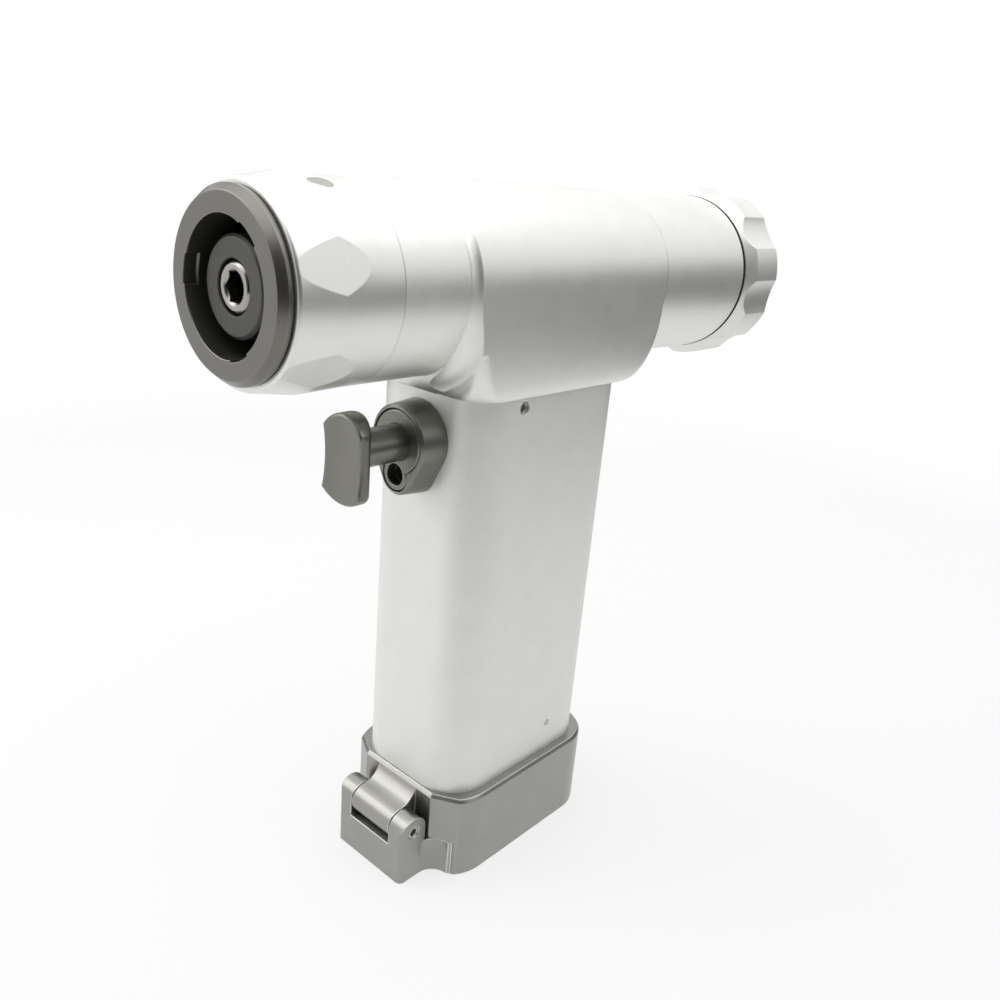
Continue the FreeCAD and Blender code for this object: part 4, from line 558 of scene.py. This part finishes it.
FLOOR_HALF = 6.0
SHADOW_REACH = (0.15, 0.6)  # from the middle of the floor: the shadow fades to plain white between them
SHADOW_WHITE = 0.72         # share of plain white that is mixed in near the object
ROOM_LIGHT = 0.6
CAMERA_LENS = 32.583
CAMERA_SENSOR = 36
CAMERA_PLACE = Vector((132.57, -153.04, 158.62)) * MM
CAMERA_TURN, CAMERA_TILT, CAMERA_ROLL = (math.radians(angle) for angle in (40.41, 19.78, 5.03))


def seen_directly(tree):
    """1 for what the eye sees, straight, in a reflection or through glass, and 0 for plain lighting."""
    path = add(tree, "ShaderNodeLightPath")
    seen = add(tree, "ShaderNodeMath", {"operation": "MAXIMUM"},
               links={0: path.outputs["Is Camera Ray"], 1: path.outputs["Is Glossy Ray"]})
    return add(tree, "ShaderNodeMath", {"operation": "MAXIMUM"},
               links={0: seen.outputs["Value"], 1: path.outputs["Is Transmission Ray"]})


def white_room():
    """The world: white where it is seen, and softer as a light."""
    world = bpy.data.worlds.new("white_room")
    bpy.context.scene.world = world
    world.use_nodes = True
    tree = world.node_tree
    seen = seen_directly(tree)
    strength = add(tree, "ShaderNodeMapRange", values={"To Min": ROOM_LIGHT, "To Max": 1.0},
                   links={"Value": seen.outputs["Value"]})
    sky = tree.nodes["Background"]
    sky.inputs["Color"].default_value = (1, 1, 1, 1)
    tree.links.new(strength.outputs["Result"], sky.inputs["Strength"])


def stage_mesh(name, corners, faces, surface):
    """A sheet that belongs to the studio and not to the object."""
    mesh = bpy.data.meshes.new(name)
    mesh.from_pydata(corners, [], faces)
    mesh.materials.append(surface)
    sheet = bpy.data.objects.new(name, mesh)
    bpy.context.scene.collection.objects.link(sheet)
    return sheet


def paper_floor():
    """White paper: near the object it keeps a faint shadow, and further off it runs out to plain white."""
    paper, tree, shader = start("floor_paper", "#F5F5F4", 0.0, 0.9)
    shader.inputs["Specular IOR Level"].default_value = 0.1
    corners = [(x * FLOOR_HALF, y * FLOOR_HALF, 0) for x, y in ((-1, -1), (1, -1), (1, 1), (-1, 1))]
    stage_mesh("floor", corners, [(0, 1, 2, 3)], paper)
    place = add(tree, "ShaderNodeNewGeometry")
    away = add(tree, "ShaderNodeVectorMath", {"operation": "LENGTH"}, links={0: place.outputs["Position"]})
    fade = add(tree, "ShaderNodeMapRange", {"interpolation_type": "SMOOTHSTEP"},
               {"From Min": SHADOW_REACH[0], "From Max": SHADOW_REACH[1], "To Min": SHADOW_WHITE,
                "To Max": 1.0},
               {"Value": away.outputs["Value"]})
    seen = seen_directly(tree)
    share = add(tree, "ShaderNodeMath", {"operation": "MULTIPLY"},
                links={0: fade.outputs["Result"], 1: seen.outputs["Value"]})
    white = add(tree, "ShaderNodeEmission")
    mixed = add(tree, "ShaderNodeMixShader", links={0: share.outputs["Value"], 1: shader.outputs["BSDF"],
                                                    2: white.outputs["Emission"]})
    tree.links.new(mixed.outputs["Shader"], tree.nodes["Material Output"].inputs["Surface"])


def grey_card(name, code, turn, spread, away, low, high):
    """Studio card bent round the object out of the picture, for the dark side of its reflections."""
    steps = 12
    corners = []
    for index in range(steps + 1):
        angle = math.radians(turn - spread / 2 + spread * index / steps)
        for height in (low, high):
            corners.append((away * math.cos(angle), away * math.sin(angle), height))
    faces = [(first, first + 2, first + 3, first + 1) for first in range(0, 2 * steps, 2)]
    surface, tree, shader = start(name, code, 0.0, 0.9)
    card = stage_mesh(name, corners, faces, surface)
    card.visible_camera = False
    card.visible_shadow = False


def softbox(name, place, aim, size, power):
    """Square soft lamp that faces its aim."""
    light = bpy.data.lights.new(name, "AREA")
    light.shape = "RECTANGLE"
    light.size = size
    light.size_y = size
    light.energy = power
    lamp = bpy.data.objects.new(name, light)
    bpy.context.scene.collection.objects.link(lamp)
    lamp.location = place
    lamp.rotation_euler = (Vector(aim) - Vector(place)).to_track_quat("-Z", "Y").to_euler()


def photo_camera():
    """Camera where the photo was taken from: place, turn, tilt and roll as fitted to the picture."""
    data = bpy.data.cameras.new("photo_camera")
    data.sensor_width = CAMERA_SENSOR
    data.lens = CAMERA_LENS
    camera = bpy.data.objects.new("photo_camera", data)
    bpy.context.scene.collection.objects.link(camera)
    level = math.cos(CAMERA_TILT)
    back = Vector((math.sin(CAMERA_TURN) * level, -math.cos(CAMERA_TURN) * level, math.sin(CAMERA_TILT)))
    side = Vector((math.cos(CAMERA_TURN), math.sin(CAMERA_TURN), 0))
    up = back.cross(side)
    right = side * math.cos(CAMERA_ROLL) + up * math.sin(CAMERA_ROLL)
    above = up * math.cos(CAMERA_ROLL) - side * math.sin(CAMERA_ROLL)
    rows = Matrix((right, above, back)).transposed()
    camera.matrix_world = Matrix.Translation(CAMERA_PLACE) @ rows.to_4x4()
    bpy.context.scene.camera = camera


white_room()
paper_floor()
grey_card("card_behind_camera", "#1E1E1E", turn=-46, spread=80, away=0.5, low=0.0, high=0.6)
grey_card("card_right", "#767676", turn=50, spread=130, away=0.4, low=0.0, high=0.2)
grey_card("card_left", "#8A8A8A", turn=160, spread=76, away=0.4, low=0.0, high=0.24)
softbox("key_above", place=(0.05, 0.0, 0.9), aim=(0, 0, 0.1), size=1.3, power=6.2)
softbox("key_left", place=(-0.6, -0.45, 0.55), aim=(0, 0, 0.12), size=0.6, power=2)
photo_camera()
bpy.context.scene.view_settings.view_transform = "Standard"

bpy.context.view_layer.update()
